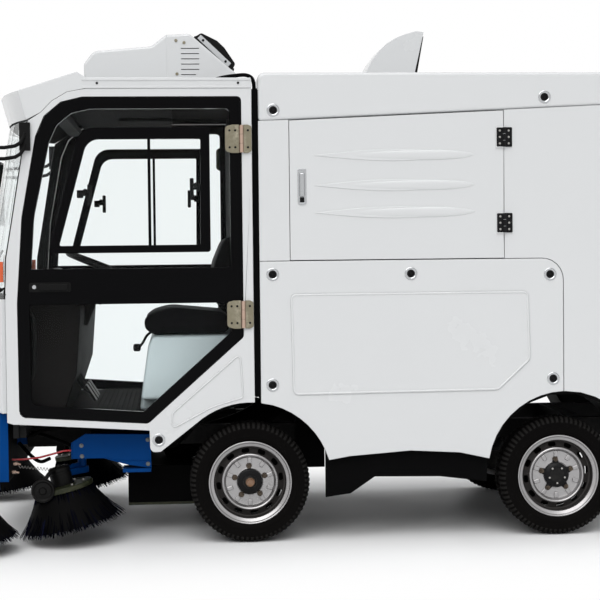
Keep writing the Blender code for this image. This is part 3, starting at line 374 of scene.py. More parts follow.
def eased(points, steps=6):
    """Points on a smooth curve through the given ones."""
    rows = [Vector(p) for p in points]
    rows = [2 * rows[0] - rows[1]] + rows + [2 * rows[-1] - rows[-2]]
    line = []
    for a, b, c, d in zip(rows, rows[1:], rows[2:], rows[3:]):
        for k in range(steps):
            t = k / steps
            line.append(0.5 * (2 * b + (c - a) * t + (2 * a - 5 * b + 4 * c - d) * t ** 2
                               + (3 * b - a - 3 * c + d) * t ** 3))
    line.append(rows[-2])
    return line


def rounded(corners, steps=5):
    """A closed outline from rows of u, v, fillet radius."""
    points = []
    count = len(corners)
    for i, (u, v, radius) in enumerate(corners):
        here = Vector((u, v))
        before = (Vector(corners[i - 1][:2]) - here).normalized()
        after = (Vector(corners[(i + 1) % count][:2]) - here).normalized()
        half = before.angle(after) / 2
        reach = radius * cos(half) / sin(half)
        centre = here + (before + after).normalized() * (radius / sin(half))
        first = here + before * reach - centre
        turn = first.angle_signed(here + after * reach - centre)
        for k in range(steps + 1):
            spoke = first.copy()
            spoke.rotate(Matrix.Rotation(-turn * k / steps, 2))
            points.append(tuple(centre + spoke))
    return points


def panel(u, v, radius, steps=5):
    """A rounded rectangle from two ranges."""
    return rounded(((u[0], v[0], radius), (u[1], v[0], radius), (u[1], v[1], radius), (u[0], v[1], radius)), steps)


def truck_box(solid):
    """Lowest and highest corner of a solid in truck coordinates."""
    return [corner - Vector((AXLE_X, 0.0, 0.0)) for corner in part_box(solid)]


def settle(obj, body, slot, look=None, stands_for=(), angle=35.0, other=None):
    """Move a finished piece to the model's place and hand it to its body.

    A look that isn't given has the slot's name; other is a second finish and the test of its faces.
    """
    chosen = []
    if other:
        chosen = [int(other[1](face.center, face.normal)) for face in obj.data.polygons]
    place(obj, Matrix.Translation((AXLE_X, 0.0, 0.0)))
    obj.data.materials.clear()
    obj.data.materials.append(MATERIALS[look or slot])
    if other:
        obj.data.materials.append(MATERIALS[other[0]])
        obj.data.polygons.foreach_set("material_index", chosen)
    bpy.ops.object.shade_smooth_by_angle(angle=radians(angle))
    if angle < 50.0:
        apply(obj, "WEIGHTED_NORMAL", keep_sharp=True, weight=60)
    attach(obj, body)
    if stands_for:
        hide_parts(*stands_for)
    return obj


def both(obj, body, slot, look=None, stands_for="", angle=35.0, other=None):
    """Settle a left hand piece and its mirrored twin; the names end in the side."""
    stem = obj.name
    twin = mirrored(obj, stem + "_right")
    obj.name = stem + "_left"
    for thing, (label, _) in zip((obj, twin), SIDES):
        settle(thing, body.replace("SIDE", label), slot, look,
               (stands_for.replace("SIDE", label),) if stands_for else (), angle, other)


# Painted shade: a near-black second finish on the faces of some skins that look into the cab, into the wheel arches,
# back at the wheels or down

CAB_MIDDLE = Vector((-0.45, 0.0, 1.2))
CAB_INNER_Y = 0.6995
SILL_UNDER_Z = 0.4985
CAB_FLOOR_Z = 0.53
ARCH_INNER_Y = 0.6985
ARCH_TOP_Z = 0.66
TAIL_INNER_X = 1.88


def in_cab(at, normal):
    """Faces of the cab's pillars and panels that look at the driver, and those below its sill, which get near-black
    painted shade.
    """
    if abs(at.y) >= CAB_INNER_Y:
        return False
    return at.z < SILL_UNDER_Z or (at.z > CAB_FLOOR_Z and (at - CAB_MIDDLE).dot(normal) < 0.0)


def in_arch(at, normal):
    """Faces of the body's wheel arches and floor, which get near-black painted shade."""
    return at.z < ARCH_TOP_Z and abs(at.y) < ARCH_INNER_Y and at.x < TAIL_INNER_X


def rear_face(at, normal):
    """The bumper's side that looks at the wheels, and its underside, which get near-black painted shade."""
    return normal.x > 0.5 or normal.z < -0.7


PAINTED_SHADE_FACES = {"front_bumper": ("arch_liner", rear_face), "body_shell": ("arch_liner", in_arch),
           "cab_frame": ("cab_trim", in_cab), "front_fascia": ("cab_trim", in_cab), "cab_roof": ("cab_trim", in_cab)}
FLAT_SIDED = ("cooler_housing", "cab_roof", "roof_scoop", "front_bumper", "seat_base", "dashboard")
ROLLED = {"lower_panel": 0.0055, "side_hatch": 0.0022}


def roll_rim(obj, width):
    """Round the long outer edges of a side panel, in edit mode."""
    bpy.ops.mesh.select_mode(type="EDGE")
    bpy.ops.mesh.select_all(action="DESELECT")
    work = bmesh.from_edit_mesh(obj.data)
    for edge in work.edges:
        flush = all(abs(abs(vert.co.y) - HALF_WIDTH) < 1e-4 for vert in edge.verts)
        if flush and edge.is_convex and edge.calc_face_angle(0.0) > 1.2:
            edge.select_set(True)
    bmesh.update_edit_mesh(obj.data)
    bpy.ops.mesh.bevel(offset=width, segments=4, affect="EDGES", clamp_overlap=True)


def dress(node, finish, slot, width=0.0, segments=2, angle=30.0, smooth=35.0):
    """A copy of a solid with its edges rounded, which stands for the solid."""
    twin = copy(NODES[node], node + "_skin")
    body = twin["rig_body"]
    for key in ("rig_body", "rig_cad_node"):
        del twin[key]
    twin.parent = None
    twin.matrix_world = Matrix.Identity(4)
    edit(twin, "VERT")
    bpy.ops.mesh.select_all(action="SELECT")
    bpy.ops.mesh.remove_doubles(threshold=2e-5)
    if node in FLAT_SIDED:
        bpy.ops.mesh.dissolve_limited(angle_limit=radians(0.4))
    family = node.rsplit("_", 1)[0]
    if family in ROLLED:
        roll_rim(twin, ROLLED[family])
    leave()
    round_edges(twin, width, segments, angle)
    place(twin, Matrix.Translation((-AXLE_X, 0.0, 0.0)))
    return settle(twin, body, slot, finish, (node,), smooth, PAINTED_SHADE_FACES.get(node))


# Finishes

def node(tree, kind, **values):
    """A node with its settings and socket values; an underscore in a socket's name is a space."""
    made = tree.nodes.new(kind)
    for key, value in values.items():
        if hasattr(made, key):
            setattr(made, key, value)
        else:
            made.inputs[key.replace("_", " ")].default_value = value
    return made


def link(tree, source, target):
    tree.links.new(source, target)


def group(name, inputs, outputs):
    """An empty node group with named sockets."""
    tree = bpy.data.node_groups.new(name, "ShaderNodeTree")
    for label, kind, value in inputs:
        made = tree.interface.new_socket(label, in_out="INPUT", socket_type="NodeSocket" + kind)
        made.default_value = value
    for label, kind in outputs:
        tree.interface.new_socket(label, in_out="OUTPUT", socket_type="NodeSocket" + kind)
    return tree, tree.nodes.new("NodeGroupInput"), tree.nodes.new("NodeGroupOutput")


def mix_colour(tree, factor, first, second):
    made = tree.nodes.new("ShaderNodeMix")
    made.data_type = "RGBA"
    for index, value in ((0, factor), (6, first), (7, second)):
        if isinstance(value, bpy.types.NodeSocket):
            link(tree, value, made.inputs[index])
        else:
            made.inputs[index].default_value = value
    return made.outputs[2]


def maths(tree, kind, first, second=0.0, clamp=False):
    made = node(tree, "ShaderNodeMath", operation=kind, use_clamp=clamp)
    for index, value in ((0, first), (1, second)):
        if isinstance(value, bpy.types.NodeSocket):
            link(tree, value, made.inputs[index])
        else:
            made.inputs[index].default_value = value
    return made.outputs[0]


def dust_group():
    """Road dust: thick near the ground and on faces that look up, thin elsewhere."""
    tree, start, end = group("road_dust", (("Color", "Color", (0.5, 0.5, 0.5, 1.0)),
                                           ("Dust", "Color", (0.3, 0.27, 0.23, 1.0)),
                                           ("Amount", "Float", 0.2), ("Reach", "Float", 0.6)),
                             (("Color", "Color"), ("Mask", "Float")))
    place_node = node(tree, "ShaderNodeTexCoord")
    split = node(tree, "ShaderNodeSeparateXYZ")
    link(tree, place_node.outputs["Object"], split.inputs[0])
    height = maths(tree, "SUBTRACT", 1.0, maths(tree, "DIVIDE", split.outputs["Z"], start.outputs["Reach"]), True)
    facing = node(tree, "ShaderNodeSeparateXYZ")
    link(tree, place_node.outputs["Normal"], facing.inputs[0])
    shelf = maths(tree, "MULTIPLY", maths(tree, "MAXIMUM", facing.outputs["Z"], 0.0), 0.35)
    cloud = node(tree, "ShaderNodeTexNoise", Scale=7.0, Detail=8.0, Roughness=0.62)
    link(tree, place_node.outputs["Object"], cloud.inputs["Vector"])
    speck = node(tree, "ShaderNodeTexNoise", Scale=120.0, Detail=3.0, Roughness=0.7)
    link(tree, place_node.outputs["Object"], speck.inputs["Vector"])
    body = maths(tree, "MULTIPLY", maths(tree, "ADD", height, shelf), cloud.outputs[0])
    patch = maths(tree, "MULTIPLY", body, maths(tree, "ADD", speck.outputs[0], 0.5))
    mask = maths(tree, "MULTIPLY", patch, start.outputs["Amount"], True)
    link(tree, mix_colour(tree, mask, start.outputs["Color"], start.outputs["Dust"]), end.inputs["Color"])
    link(tree, mask, end.inputs["Mask"])
    return tree


def grain_group():
    """Fine surface grain and a slow drift of tone."""
    tree, start, end = group("surface_grain", (("Scale", "Float", 300.0), ("Drift", "Float", 3.0)),
                             (("Grain", "Float"), ("Tone", "Float")))
    spot = node(tree, "ShaderNodeTexCoord")
    for socket, detail, label in (("Scale", 4.0, "Grain"), ("Drift", 5.0, "Tone")):
        noise = node(tree, "ShaderNodeTexNoise", Detail=detail, Roughness=0.55)
        link(tree, spot.outputs["Object"], noise.inputs["Vector"])
        link(tree, start.outputs[socket], noise.inputs["Scale"])
        link(tree, noise.outputs[0], end.inputs[label])
    return tree


def wear_group():
    """Scuffed corners: where the surface bends outwards, broken up by noise."""
    tree, start, end = group("edge_wear", (("Amount", "Float", 0.5),), (("Mask", "Float"),))
    bend = node(tree, "ShaderNodeNewGeometry")
    spot = node(tree, "ShaderNodeTexCoord")
    noise = node(tree, "ShaderNodeTexNoise", Scale=38.0, Detail=8.0, Roughness=0.7)
    link(tree, spot.outputs["Object"], noise.inputs["Vector"])
    edge = node(tree, "ShaderNodeMapRange", From_Min=0.51, From_Max=0.6, To_Min=0.0, To_Max=1.0)
    link(tree, bend.outputs["Pointiness"], edge.inputs["Value"])
    chip = node(tree, "ShaderNodeMapRange", From_Min=0.44, From_Max=0.6, To_Min=0.0, To_Max=1.0)
    link(tree, noise.outputs[0], chip.inputs["Value"])
    worn = maths(tree, "MULTIPLY", edge.outputs[0], chip.outputs[0])
    link(tree, maths(tree, "MULTIPLY", worn, start.outputs["Amount"], True), end.inputs["Mask"])
    return tree


def placed_group(tree, name, **values):
    made = tree.nodes.new("ShaderNodeGroup")
    made.node_tree = bpy.data.node_groups[name]
    for key, value in values.items():
        made.inputs[key].default_value = value
    return made


def base_material(name):
    """A new material's node tree and shader."""
    made = bpy.data.materials.new(name)
    made.use_nodes = True
    MATERIALS[name] = made
    return made.node_tree, made.node_tree.nodes["Principled BSDF"]


def finish(name, colour, rough, metallic=0.0, spread=0.06, tone=0.06, grain=(320.0, 0.00004), dust=0.12,
           reach=0.7, wear=0.0, bare=(0.32, 0.31, 0.3), coat=0.0, specular=0.5, dirt=(0.3, 0.27, 0.23)):
    """A surface with drifting tone, dust, grain in its height and uneven gloss."""
    tree, shader = base_material(name)
    MATERIALS[name].diffuse_color = (*colour, 1.0)
    shader.inputs["Metallic"].default_value = metallic
    shader.inputs["Specular IOR Level"].default_value = specular
    if coat:
        shader.inputs["Coat Weight"].default_value = coat
        shader.inputs["Coat Roughness"].default_value = 0.08
    texture = placed_group(tree, "surface_grain", Scale=grain[0], Drift=2.6)
    pale = tuple(min(1.0, c * (1.0 + tone)) for c in colour)
    deep = tuple(c * (1.0 - tone) for c in colour)
    paint = mix_colour(tree, texture.outputs["Tone"], (*deep, 1.0), (*pale, 1.0))
    if wear:
        scuff = placed_group(tree, "edge_wear", Amount=wear)
        paint = mix_colour(tree, scuff.outputs["Mask"], paint, (*bare, 1.0))
    film = placed_group(tree, "road_dust", Amount=dust, Reach=reach, Dust=(*dirt, 1.0))
    link(tree, paint, film.inputs["Color"])
    link(tree, film.outputs["Color"], shader.inputs["Base Color"])
    gloss = node(tree, "ShaderNodeMapRange", From_Min=0.3, From_Max=0.7,
                 To_Min=max(0.02, rough - spread), To_Max=min(1.0, rough + spread))
    link(tree, texture.outputs["Tone"], gloss.inputs["Value"])
    dull = maths(tree, "ADD", gloss.outputs[0], maths(tree, "MULTIPLY", film.outputs["Mask"], 0.35), True)
    link(tree, dull, shader.inputs["Roughness"])
    bump = node(tree, "ShaderNodeBump", Strength=0.6, Distance=grain[1])
    link(tree, texture.outputs["Grain"], bump.inputs["Height"])
    link(tree, bump.outputs[0], shader.inputs["Normal"])
    return tree, shader


def clear_glass(name, tint, rough=0.0):
    """Clear or tinted glass that lets light through to what is behind it."""
    tree, shader = base_material(name)
    shader.inputs["Transmission Weight"].default_value = 1.0
    shader.inputs["IOR"].default_value = 1.12
    texture = placed_group(tree, "surface_grain", Scale=60.0, Drift=2.0)
    film = placed_group(tree, "road_dust", Amount=0.01, Reach=2.0, Dust=(0.6, 0.6, 0.58, 1.0))
    film.inputs["Color"].default_value = (*tint, 1.0)
    link(tree, film.outputs["Color"], shader.inputs["Base Color"])
    smear = node(tree, "ShaderNodeMapRange", From_Min=0.3, From_Max=0.8, To_Min=rough, To_Max=rough + 0.02)
    link(tree, texture.outputs["Tone"], smear.inputs["Value"])
    link(tree, smear.outputs[0], shader.inputs["Roughness"])
    path = node(tree, "ShaderNodeLightPath")
    through = node(tree, "ShaderNodeBsdfTransparent", Color=(*tint, 1.0))
    blend = node(tree, "ShaderNodeMixShader")
    both_rays = maths(tree, "MAXIMUM", path.outputs["Is Shadow Ray"], path.outputs["Is Diffuse Ray"])
    link(tree, both_rays, blend.inputs[0])
    link(tree, shader.outputs[0], blend.inputs[1])
    link(tree, through.outputs[0], blend.inputs[2])
    link(tree, blend.outputs[0], tree.nodes["Material Output"].inputs["Surface"])


def bristle_finish():
    """Nylon strands: each tuft has its own tint."""
    tree = finish("bristle", (0.0035, 0.0035, 0.006), 0.6, dust=0.0, reach=0.12, grain=(500.0, 0.00002),
                  specular=0.0)[0]
    tint = node(tree, "ShaderNodeAttribute", attribute_name="tint")
    ramp = node(tree, "ShaderNodeValToRGB")
    ramp.color_ramp.elements[0].color = (0.0008, 0.0008, 0.0011, 1.0)
    ramp.color_ramp.elements[1].color = (0.01, 0.012, 0.036, 1.0)
    ramp.color_ramp.elements.new(0.75).color = (0.0022, 0.0025, 0.0062, 1.0)
    link(tree, tint.outputs["Fac"], ramp.inputs[0])
    film = next(n for n in tree.nodes if n.type == "GROUP" and n.node_tree.name == "road_dust")
    link(tree, ramp.outputs[0], film.inputs["Color"])


def vinyl_finish():
    """Black seat vinyl with a pebbled leather grain."""
    tree, shader = finish("seat_vinyl", (0.0022, 0.0022, 0.0026), 0.46, dust=0.0, tone=0.2, specular=0.02)
    shader.inputs["Sheen Weight"].default_value = 0.02
    cells = node(tree, "ShaderNodeTexVoronoi", Scale=420.0, feature="F1")
    spot = node(tree, "ShaderNodeTexCoord")
    link(tree, spot.outputs["Object"], cells.inputs["Vector"])
    pebble = node(tree, "ShaderNodeBump", Strength=0.5, Distance=0.0004, invert=True)
    link(tree, cells.outputs["Distance"], pebble.inputs["Height"])
    grain = next(n for n in tree.nodes if n.type == "BUMP" and n != pebble)
    link(tree, grain.outputs[0], pebble.inputs["Normal"])
    link(tree, pebble.outputs[0], shader.inputs["Normal"])


def make_finishes():
    dust_group()
    grain_group()
    wear_group()
    body = tuple(colours().body)
    arm = tuple(colours().arm)
    lamp = tuple(colours().lamp)
    finish("white_paint", body, 0.24, tone=0.012, spread=0.04, grain=(900.0, 0.00001), dust=0.015, reach=0.9,
           coat=0.3)
    finish("seat_moulding", (0.78, 0.85, 0.87), 0.42, tone=0.04, grain=(500.0, 0.00005), dust=0.04, reach=1.5)
    # Near-black painted shade on the faces inside the cab and under its sill.
    finish("cab_trim", (0.005, 0.0052, 0.0052), 0.62, tone=0.25, grain=(420.0, 0.0001), dust=0.0, specular=0.12)
    # Near-black painted shade on the wheel arches, the body's underside and the bumper's back and underside.
    finish("arch_liner", (0.004, 0.004, 0.004), 0.8, tone=0.25, grain=(180.0, 0.0003), dust=0.04, reach=0.5,
           dirt=(0.05, 0.045, 0.04), specular=0.08)
    finish("black_paint", (0.0022, 0.0022, 0.0026), 0.22, tone=0.2, spread=0.05, grain=(700.0, 0.00002), dust=0.004,
           reach=1.2, specular=0.04)
    finish("blue_paint", arm, 0.34, tone=0.1, spread=0.08, grain=(260.0, 0.00006), dust=0.02, reach=0.6, wear=0.1,
           bare=(0.01, 0.04, 0.1), specular=0.04)
    finish("dark_plastic", (0.0036, 0.0036, 0.0036), 0.46, tone=0.2, grain=(420.0, 0.00012), dust=0.01, reach=1.0,
           specular=0.1)
    finish("console_plastic", (0.0065, 0.0055, 0.0052), 0.6, tone=0.18, grain=(360.0, 0.00015), dust=0.005,
           reach=1.2, specular=0.03)
    finish("headliner", (0.01, 0.01, 0.0105), 0.9, tone=0.12, grain=(700.0, 0.00025), dust=0.0, specular=0.05)
    finish("tyre_rubber", (0.0034, 0.0031, 0.003), 0.7, tone=0.25, grain=(240.0, 0.00018), dust=0.04, reach=0.3,
           dirt=(0.06, 0.052, 0.044), specular=0.02)
    finish("sheet_rubber", (0.0024, 0.0024, 0.0026), 0.64, tone=0.2, grain=(300.0, 0.00012), dust=0.02, reach=0.5,
           dirt=(0.07, 0.06, 0.05), specular=0.02)
    finish("wheel_silver", (0.4, 0.392, 0.395), 0.26, metallic=0.88, tone=0.1, spread=0.08, grain=(520.0, 0.00005),
           dust=0.45, reach=0.6, dirt=(0.05, 0.042, 0.036), specular=0.3)
    # Dark metal painted as the shade in the rims' recessed channel.
    finish("wheel_grime", (0.04, 0.037, 0.036), 0.5, metallic=0.35, tone=0.25, grain=(260.0, 0.00008), dust=0.3,
           reach=0.6, dirt=(0.02, 0.016, 0.013), specular=0.2)
    # Paler rubber for the tyre's lug tops: partly wear, partly painted highlight.
    finish("tyre_worn", (0.013, 0.0125, 0.012), 0.78, tone=0.35, grain=(300.0, 0.0002), dust=0.08, reach=0.3,
           dirt=(0.07, 0.06, 0.05), specular=0.03)
    finish("zinc_steel", (0.42, 0.41, 0.39), 0.32, metallic=1.0, tone=0.14, grain=(300.0, 0.00004), dust=0.1,
           wear=0.3)
    finish("dark_iron", (0.007, 0.007, 0.0074), 0.6, metallic=0.2, tone=0.3, grain=(160.0, 0.0002), dust=0.08,
           reach=0.7, wear=0.25, bare=(0.06, 0.055, 0.05), dirt=(0.07, 0.06, 0.05), specular=0.14)
    finish("hinge_cast", (0.19, 0.17, 0.115), 0.42, metallic=0.45, tone=0.2, spread=0.1, grain=(210.0, 0.00012),
           dust=0.1, reach=3.0, wear=0.5, bare=(0.46, 0.42, 0.33))
    finish("hinge_barrel", (0.46, 0.33, 0.26), 0.3, metallic=0.7, tone=0.12, grain=(300.0, 0.00006), dust=0.05)
    finish("hub_brass", (0.24, 0.13, 0.072), 0.36, metallic=0.7, tone=0.3, grain=(180.0, 0.0001), dust=0.3, wear=0.4,
           dirt=(0.03, 0.022, 0.014))
    finish("nut_bronze", (0.055, 0.04, 0.028), 0.42, metallic=0.6, tone=0.3, grain=(220.0, 0.0001), dust=0.3,
           wear=0.5, bare=(0.22, 0.17, 0.12), dirt=(0.03, 0.024, 0.018))
    finish("nut_grey", (0.12, 0.13, 0.14), 0.4, metallic=0.5, tone=0.25, grain=(260.0, 0.0001), dust=0.2,
           wear=0.3)
    finish("chrome_ring", (0.46, 0.47, 0.48), 0.16, metallic=1.0, tone=0.08, grain=(600.0, 0.00001), dust=0.04)
    finish("screw_black", (0.003, 0.003, 0.0036), 0.36, metallic=0.2, tone=0.2, grain=(600.0, 0.00003), dust=0.01,
           wear=0.2, bare=(0.06, 0.06, 0.06), specular=0.16)
    finish("disc_olive", (0.015, 0.018, 0.008), 0.46, tone=0.35, grain=(200.0, 0.0001), dust=0.05, reach=0.45,
           dirt=(0.08, 0.075, 0.035), wear=0.3, bare=(0.09, 0.09, 0.045), specular=0.2)
    finish("red_hose", (0.56, 0.012, 0.025), 0.32, tone=0.08, grain=(500.0, 0.00003), dust=0.05, coat=0.2)
    finish("fin_alloy", (0.42, 0.43, 0.44), 0.38, metallic=0.9, tone=0.08, grain=(500.0, 0.00004), dust=0.05,
           reach=3.0)
    finish("plate_blank", (0.62, 0.62, 0.6), 0.45, tone=0.03, grain=(500.0, 0.00003), dust=0.06, reach=1.0)
    finish("mirror_face", (0.8, 0.81, 0.82), 0.03, metallic=1.0, tone=0.01, spread=0.01, grain=(200.0, 0.000002),
           dust=0.02)
    finish("amber_lens", lamp, 0.12, tone=0.18, grain=(240.0, 0.00006), dust=0.04, coat=0.6)
    finish("red_lens", (0.42, 0.004, 0.004), 0.12, tone=0.18, grain=(240.0, 0.00006), dust=0.05, coat=0.6)
    bristle_finish()
    vinyl_finish()
    clear_glass("cab_glass", (0.93, 0.955, 0.955))
    clear_glass("lamp_glass", (0.97, 0.98, 0.98), 0.01)


# Body

KEPT_SOLIDS = {
    "dark_iron": ("chassis_frame", "front_axle", "rear_axle", "knuckle_left", "knuckle_right"),
    "cab_glass": ("windshield", "door_glass_left", "door_glass_right"),
    "dark_plastic": ("battery_block",), "sheet_rubber": ("cab_floor",), "console_plastic": ("cab_back_wall",),
    "red_hose": ("red_hose",),
}

# Finish and slot of the dressed solids, each with the rounding of its edges
SKINS = {
    ("white_paint", "white_paint"): {
        "cab_frame": 0.0014, "cab_roof": 0.0022, "front_fascia": 0.0025, "body_shell": 0.0012, "roof_cap": 0.0,
        "lower_panel_SIDE": 0.0016, "side_hatch_SIDE": 0.0012, "rear_door": 0.0015, "cooler_housing": 0.012,
        "roof_scoop": 0.0018},
    ("blue_paint", "blue_paint"): {"front_bumper": 0.003, "arm_bracket_SIDE": 0.0014},
    ("black_paint", "black_paint"): {"rear_bumper": 0.002, "cab_door_SIDE": 0.0022},
    ("console_plastic", "dark_plastic"): {"dashboard": 0.006},
    ("seat_moulding", "white_paint"): {"seat_base": 0.016},
    ("amber_lens", "amber_lens"): {"indicator_SIDE": 0.002},
    ("dark_plastic", "black_paint"): {"mirror_SIDE": 0.0015, "cooler_fan_guard": 0.0012},
    ("sheet_rubber", "dark_plastic"): {"suction_mouth": 0.0015},
    ("sheet_rubber", "rubber"): {"side_flap_SIDE": 0.0015},
}


class SWEEPER_OT_skins(bpy.types.Operator):
    """Dress the solids in rounded, painted skins."""
    bl_idname = "sweeper.skins"
    bl_label = "Painted skins"
    bl_options = {"REGISTER", "UNDO"}

    def execute(self, context):
        for look, solids in KEPT_SOLIDS.items():
            for solid in solids:
                for holder in NODES[solid].material_slots:
                    holder.material = MATERIALS[look]
        scale = sizes().edge / DEFAULT_EDGE
        for (look, slot), widths in SKINS.items():
            for name, width in widths.items():
                for solid in sorted({name.replace("SIDE", label) for label, _ in SIDES}):
                    dress(solid, look, slot, width * scale)
        return {"FINISHED"}


def bead(name, outline, half):
    """A raised half round bead along a closed outline on the left side."""
    rings = []
    for way in (half, -half):
        ring = []
        for i, (u, v) in enumerate(outline):
            run = Vector(outline[(i + 1) % len(outline)]) - Vector(outline[i - 1])
            out = Vector((run.y, -run.x)).normalized() * way
            ring.append((u + out.x, v + out.y))
        rings.append(ring)
    return slab(name, "XZ", rings[0], -HALF_WIDTH - half, -HALF_WIDTH + 0.001, half * 0.85, 3, rings[1])


RIB_LENGTH = 0.66
RIB_HALF = 0.0215
RIB_FLATNESS = 0.27
RIB_PEAK = 0.7


def rib_profile():
    """Half outline of a hatch rib, long in front of its thickest place and round behind it."""
    line = [(0.0, 0.0)]
    for k in range(1, 17):
        if k < 10:
            share = RIB_PEAK * k / 9
            size = sin(pi / 2 * share / RIB_PEAK)
        else:
            share = RIB_PEAK + (1.0 - RIB_PEAK) * sin(pi / 2 * (k - 9) / 8)
            size = (1.0 - ((share - RIB_PEAK) / (1.0 - RIB_PEAK)) ** 2) ** 0.55
        line.append((RIB_HALF * size, RIB_LENGTH * share))
    return line + [(0.0, RIB_LENGTH)]


# X and Z of the quarter turn fasteners on one side; their profiles hold shares of the radius
FASTENERS = ((0.107, 1.758), (1.218, 1.808), (0.098, 1.096), (0.662, 1.093), (1.238, 1.084), (0.093, 0.648),
             (1.249, 0.655), (-0.369, 0.434))
RING_PROFILE = ((1.0, 0.0), (1.0, 0.0018), (0.93, 0.003), (0.78, 0.0032), (0.66, 0.0018), (0.6, 0.0006),
                (0.6, -0.0015), (1.0, -0.0015))
CUP_PROFILE = ((0.0, 0.0026), (0.16, 0.0024), (0.24, 0.0006), (0.34, 0.0006), (0.42, 0.003), (0.56, 0.0022),
               (0.62, 0.0004), (0.62, -0.0018), (0.0, -0.0018))


class SWEEPER_OT_panels(bpy.types.Operator):
    """Model the embossed skirt fields, the seams' seals, the roof's drip strips and the fasteners."""
    bl_idname = "sweeper.panels"
    bl_label = "Panel details"
    bl_options = {"REGISTER", "UNDO"}

    def execute(self, context):
        w = HALF_WIDTH
        field = rounded(((0.174, 1.012, 0.018), (1.142, 1.012, 0.018), (1.15, 0.738, 0.03), (1.018, 0.616, 0.03),
                         (0.18, 0.61, 0.018)))
        both(bead("field_bead", field, 0.0052), "chassis", "white_paint")
        ribs = []
        for z in (1.575, 1.453, 1.343):
            rib = lathe("rib", rib_profile(), 28, False, turned((0.0, 0.0, 0.0), 90.0, "Y"))
            rib.scale = (1.0, RIB_FLATNESS, 1.0)
            place(rib)
            ribs.append(place(rib, Matrix.Translation((0.2665, -w, z))))
        both(fuse("hatch_ribs", ribs), "hatch_SIDE", "white_paint", angle=60.0)
        field = rounded(((-0.037, 0.778, 0.012), (-0.314, 0.541, 0.03), (-0.316, 0.478, 0.012),
                         (-0.15, 0.566, 0.3), (-0.027, 0.6, 0.012)))
        both(bead("skirt_bead", field[::-1], 0.0036), "chassis", "white_paint")
        strips = [brick("strip", (-0.655, -w - 0.0035, low), (0.018, -w + 0.001, high), 0.0016, 3)
                  for low, high in ((1.878, 1.8885), (1.8475, 1.857))]
        both(fuse("drip_strip", strips), "chassis", "white_paint")
        screws = heads("screw", ((-0.596, 1.868), (-0.033, 1.868)), -w + 0.001, -w - 0.004, 0.0055, 0.004, 16,
                       0.0008)
        both(fuse("roof_screws", screws), "chassis", "white_paint", "screw_black")
        seal_y = w - 0.006
        seal = rounded(((0.0222, -seal_y, 0.004), (0.0438, -seal_y, 0.004), (0.0438, seal_y, 0.004),
                        (0.0222, seal_y, 0.004)), 2)
        settle(slab("cab_seal", "XY", seal, 0.6003, 1.846, 0.001), "chassis", "rubber", "sheet_rubber")
        radius = sizes().fastener
        for stem, profile, steps, closed, slot, look in (
                ("ring", RING_PROFILE, 40, True, "silver_steel", "chrome_ring"),
                ("cup", CUP_PROFILE, 32, False, "black_paint", "screw_black")):
            model = lathe("fastener", [(radius * share, height) for share, height in profile], steps, closed)
            copies = [place(copy(model, stem), turned((x, -w, z), 90.0)) for x, z in FASTENERS]
            bpy.data.objects.remove(model, do_unlink=True)
            both(fuse("fastener_%ss" % stem, copies), "chassis", slot, look)
        return {"FINISHED"}


# Wheels

RIM_PROFILE = (
    (0.17, 0.0645), (0.1692, 0.0662), (0.1668, 0.0668), (0.164, 0.0655), (0.1618, 0.062), (0.1585, 0.059),
    (0.153, 0.0572), (0.149, 0.054), (0.1478, 0.048), (0.1474, 0.026), (0.145, 0.02), (0.14, 0.019),
    (0.134, 0.0215), (0.125, 0.0262), (0.119, 0.0325), (0.115, 0.0375), (0.111, 0.039), (0.107, 0.0372),
    (0.1035, 0.031), (0.0985, 0.0255), (0.09, 0.0235), (0.06, 0.0245), (0.0545, 0.0262), (0.052, 0.024),
    (0.031, 0.0235), (0.031, 0.016), (0.06, 0.0165), (0.096, 0.0165), (0.104, 0.027), (0.111, 0.033),
    (0.117, 0.027), (0.13, 0.015), (0.143, 0.013), (0.1474, 0.006), (0.1474, -0.056), (0.162, -0.064),
    (0.17, -0.066), (0.17, -0.063), (0.164, -0.06), (0.1526, -0.056), (0.1526, 0.053), (0.16, 0.057),
    (0.169, 0.0625),
)
TYRE_HALF = (
    (0.153, 0.049), (0.158, 0.0535), (0.166, 0.058), (0.1705, 0.0625), (0.1745, 0.0672), (0.18, 0.07),
    (0.186, 0.0708), (0.189, 0.0722), (0.192, 0.0722), (0.195, 0.0712), (0.206, 0.0718), (0.215, 0.072),
    (0.2185, 0.0722), (0.2225, 0.0716), (0.226, 0.07), (0.2335, 0.064), (0.2385, 0.056), (0.241, 0.048),
    (0.2425, 0.04), (0.243, 0.034), (0.237, 0.0325), (0.237, 0.0275), (0.2432, 0.026), (0.2436, 0.016),
    (0.2438, 0.011), (0.2378, 0.0095), (0.2378, 0.004), (0.244, 0.003),
)
TYRE_INSIDE = ((0.1545, -0.045), (0.2, -0.06), (0.228, -0.045), (0.23, 0.0), (0.228, 0.045), (0.2, 0.06),
               (0.1545, 0.045))
TYRE_RADIUS = 0.2458
TYRE_HALF_WIDTH = 0.0723
LUG_RADIUS = 0.2205
TREAD_RADIUS = 0.2428
LUG_RISE = 0.0028
SIPE_DEPTH = 0.004
STUD_ANGLE = pi / 2 + 0.05
# From a wheel's own axis along Z to the front left wheel, outer face towards the left
WHEEL_PLACE = turned((0.0, -HALF_TRACK, WHEEL_Z), 90.0)


def step_at(x, y, steps):
    """The step of a spin that a spot lies in."""
    return int((atan2(y, x) / (2 * pi) * steps) % steps)


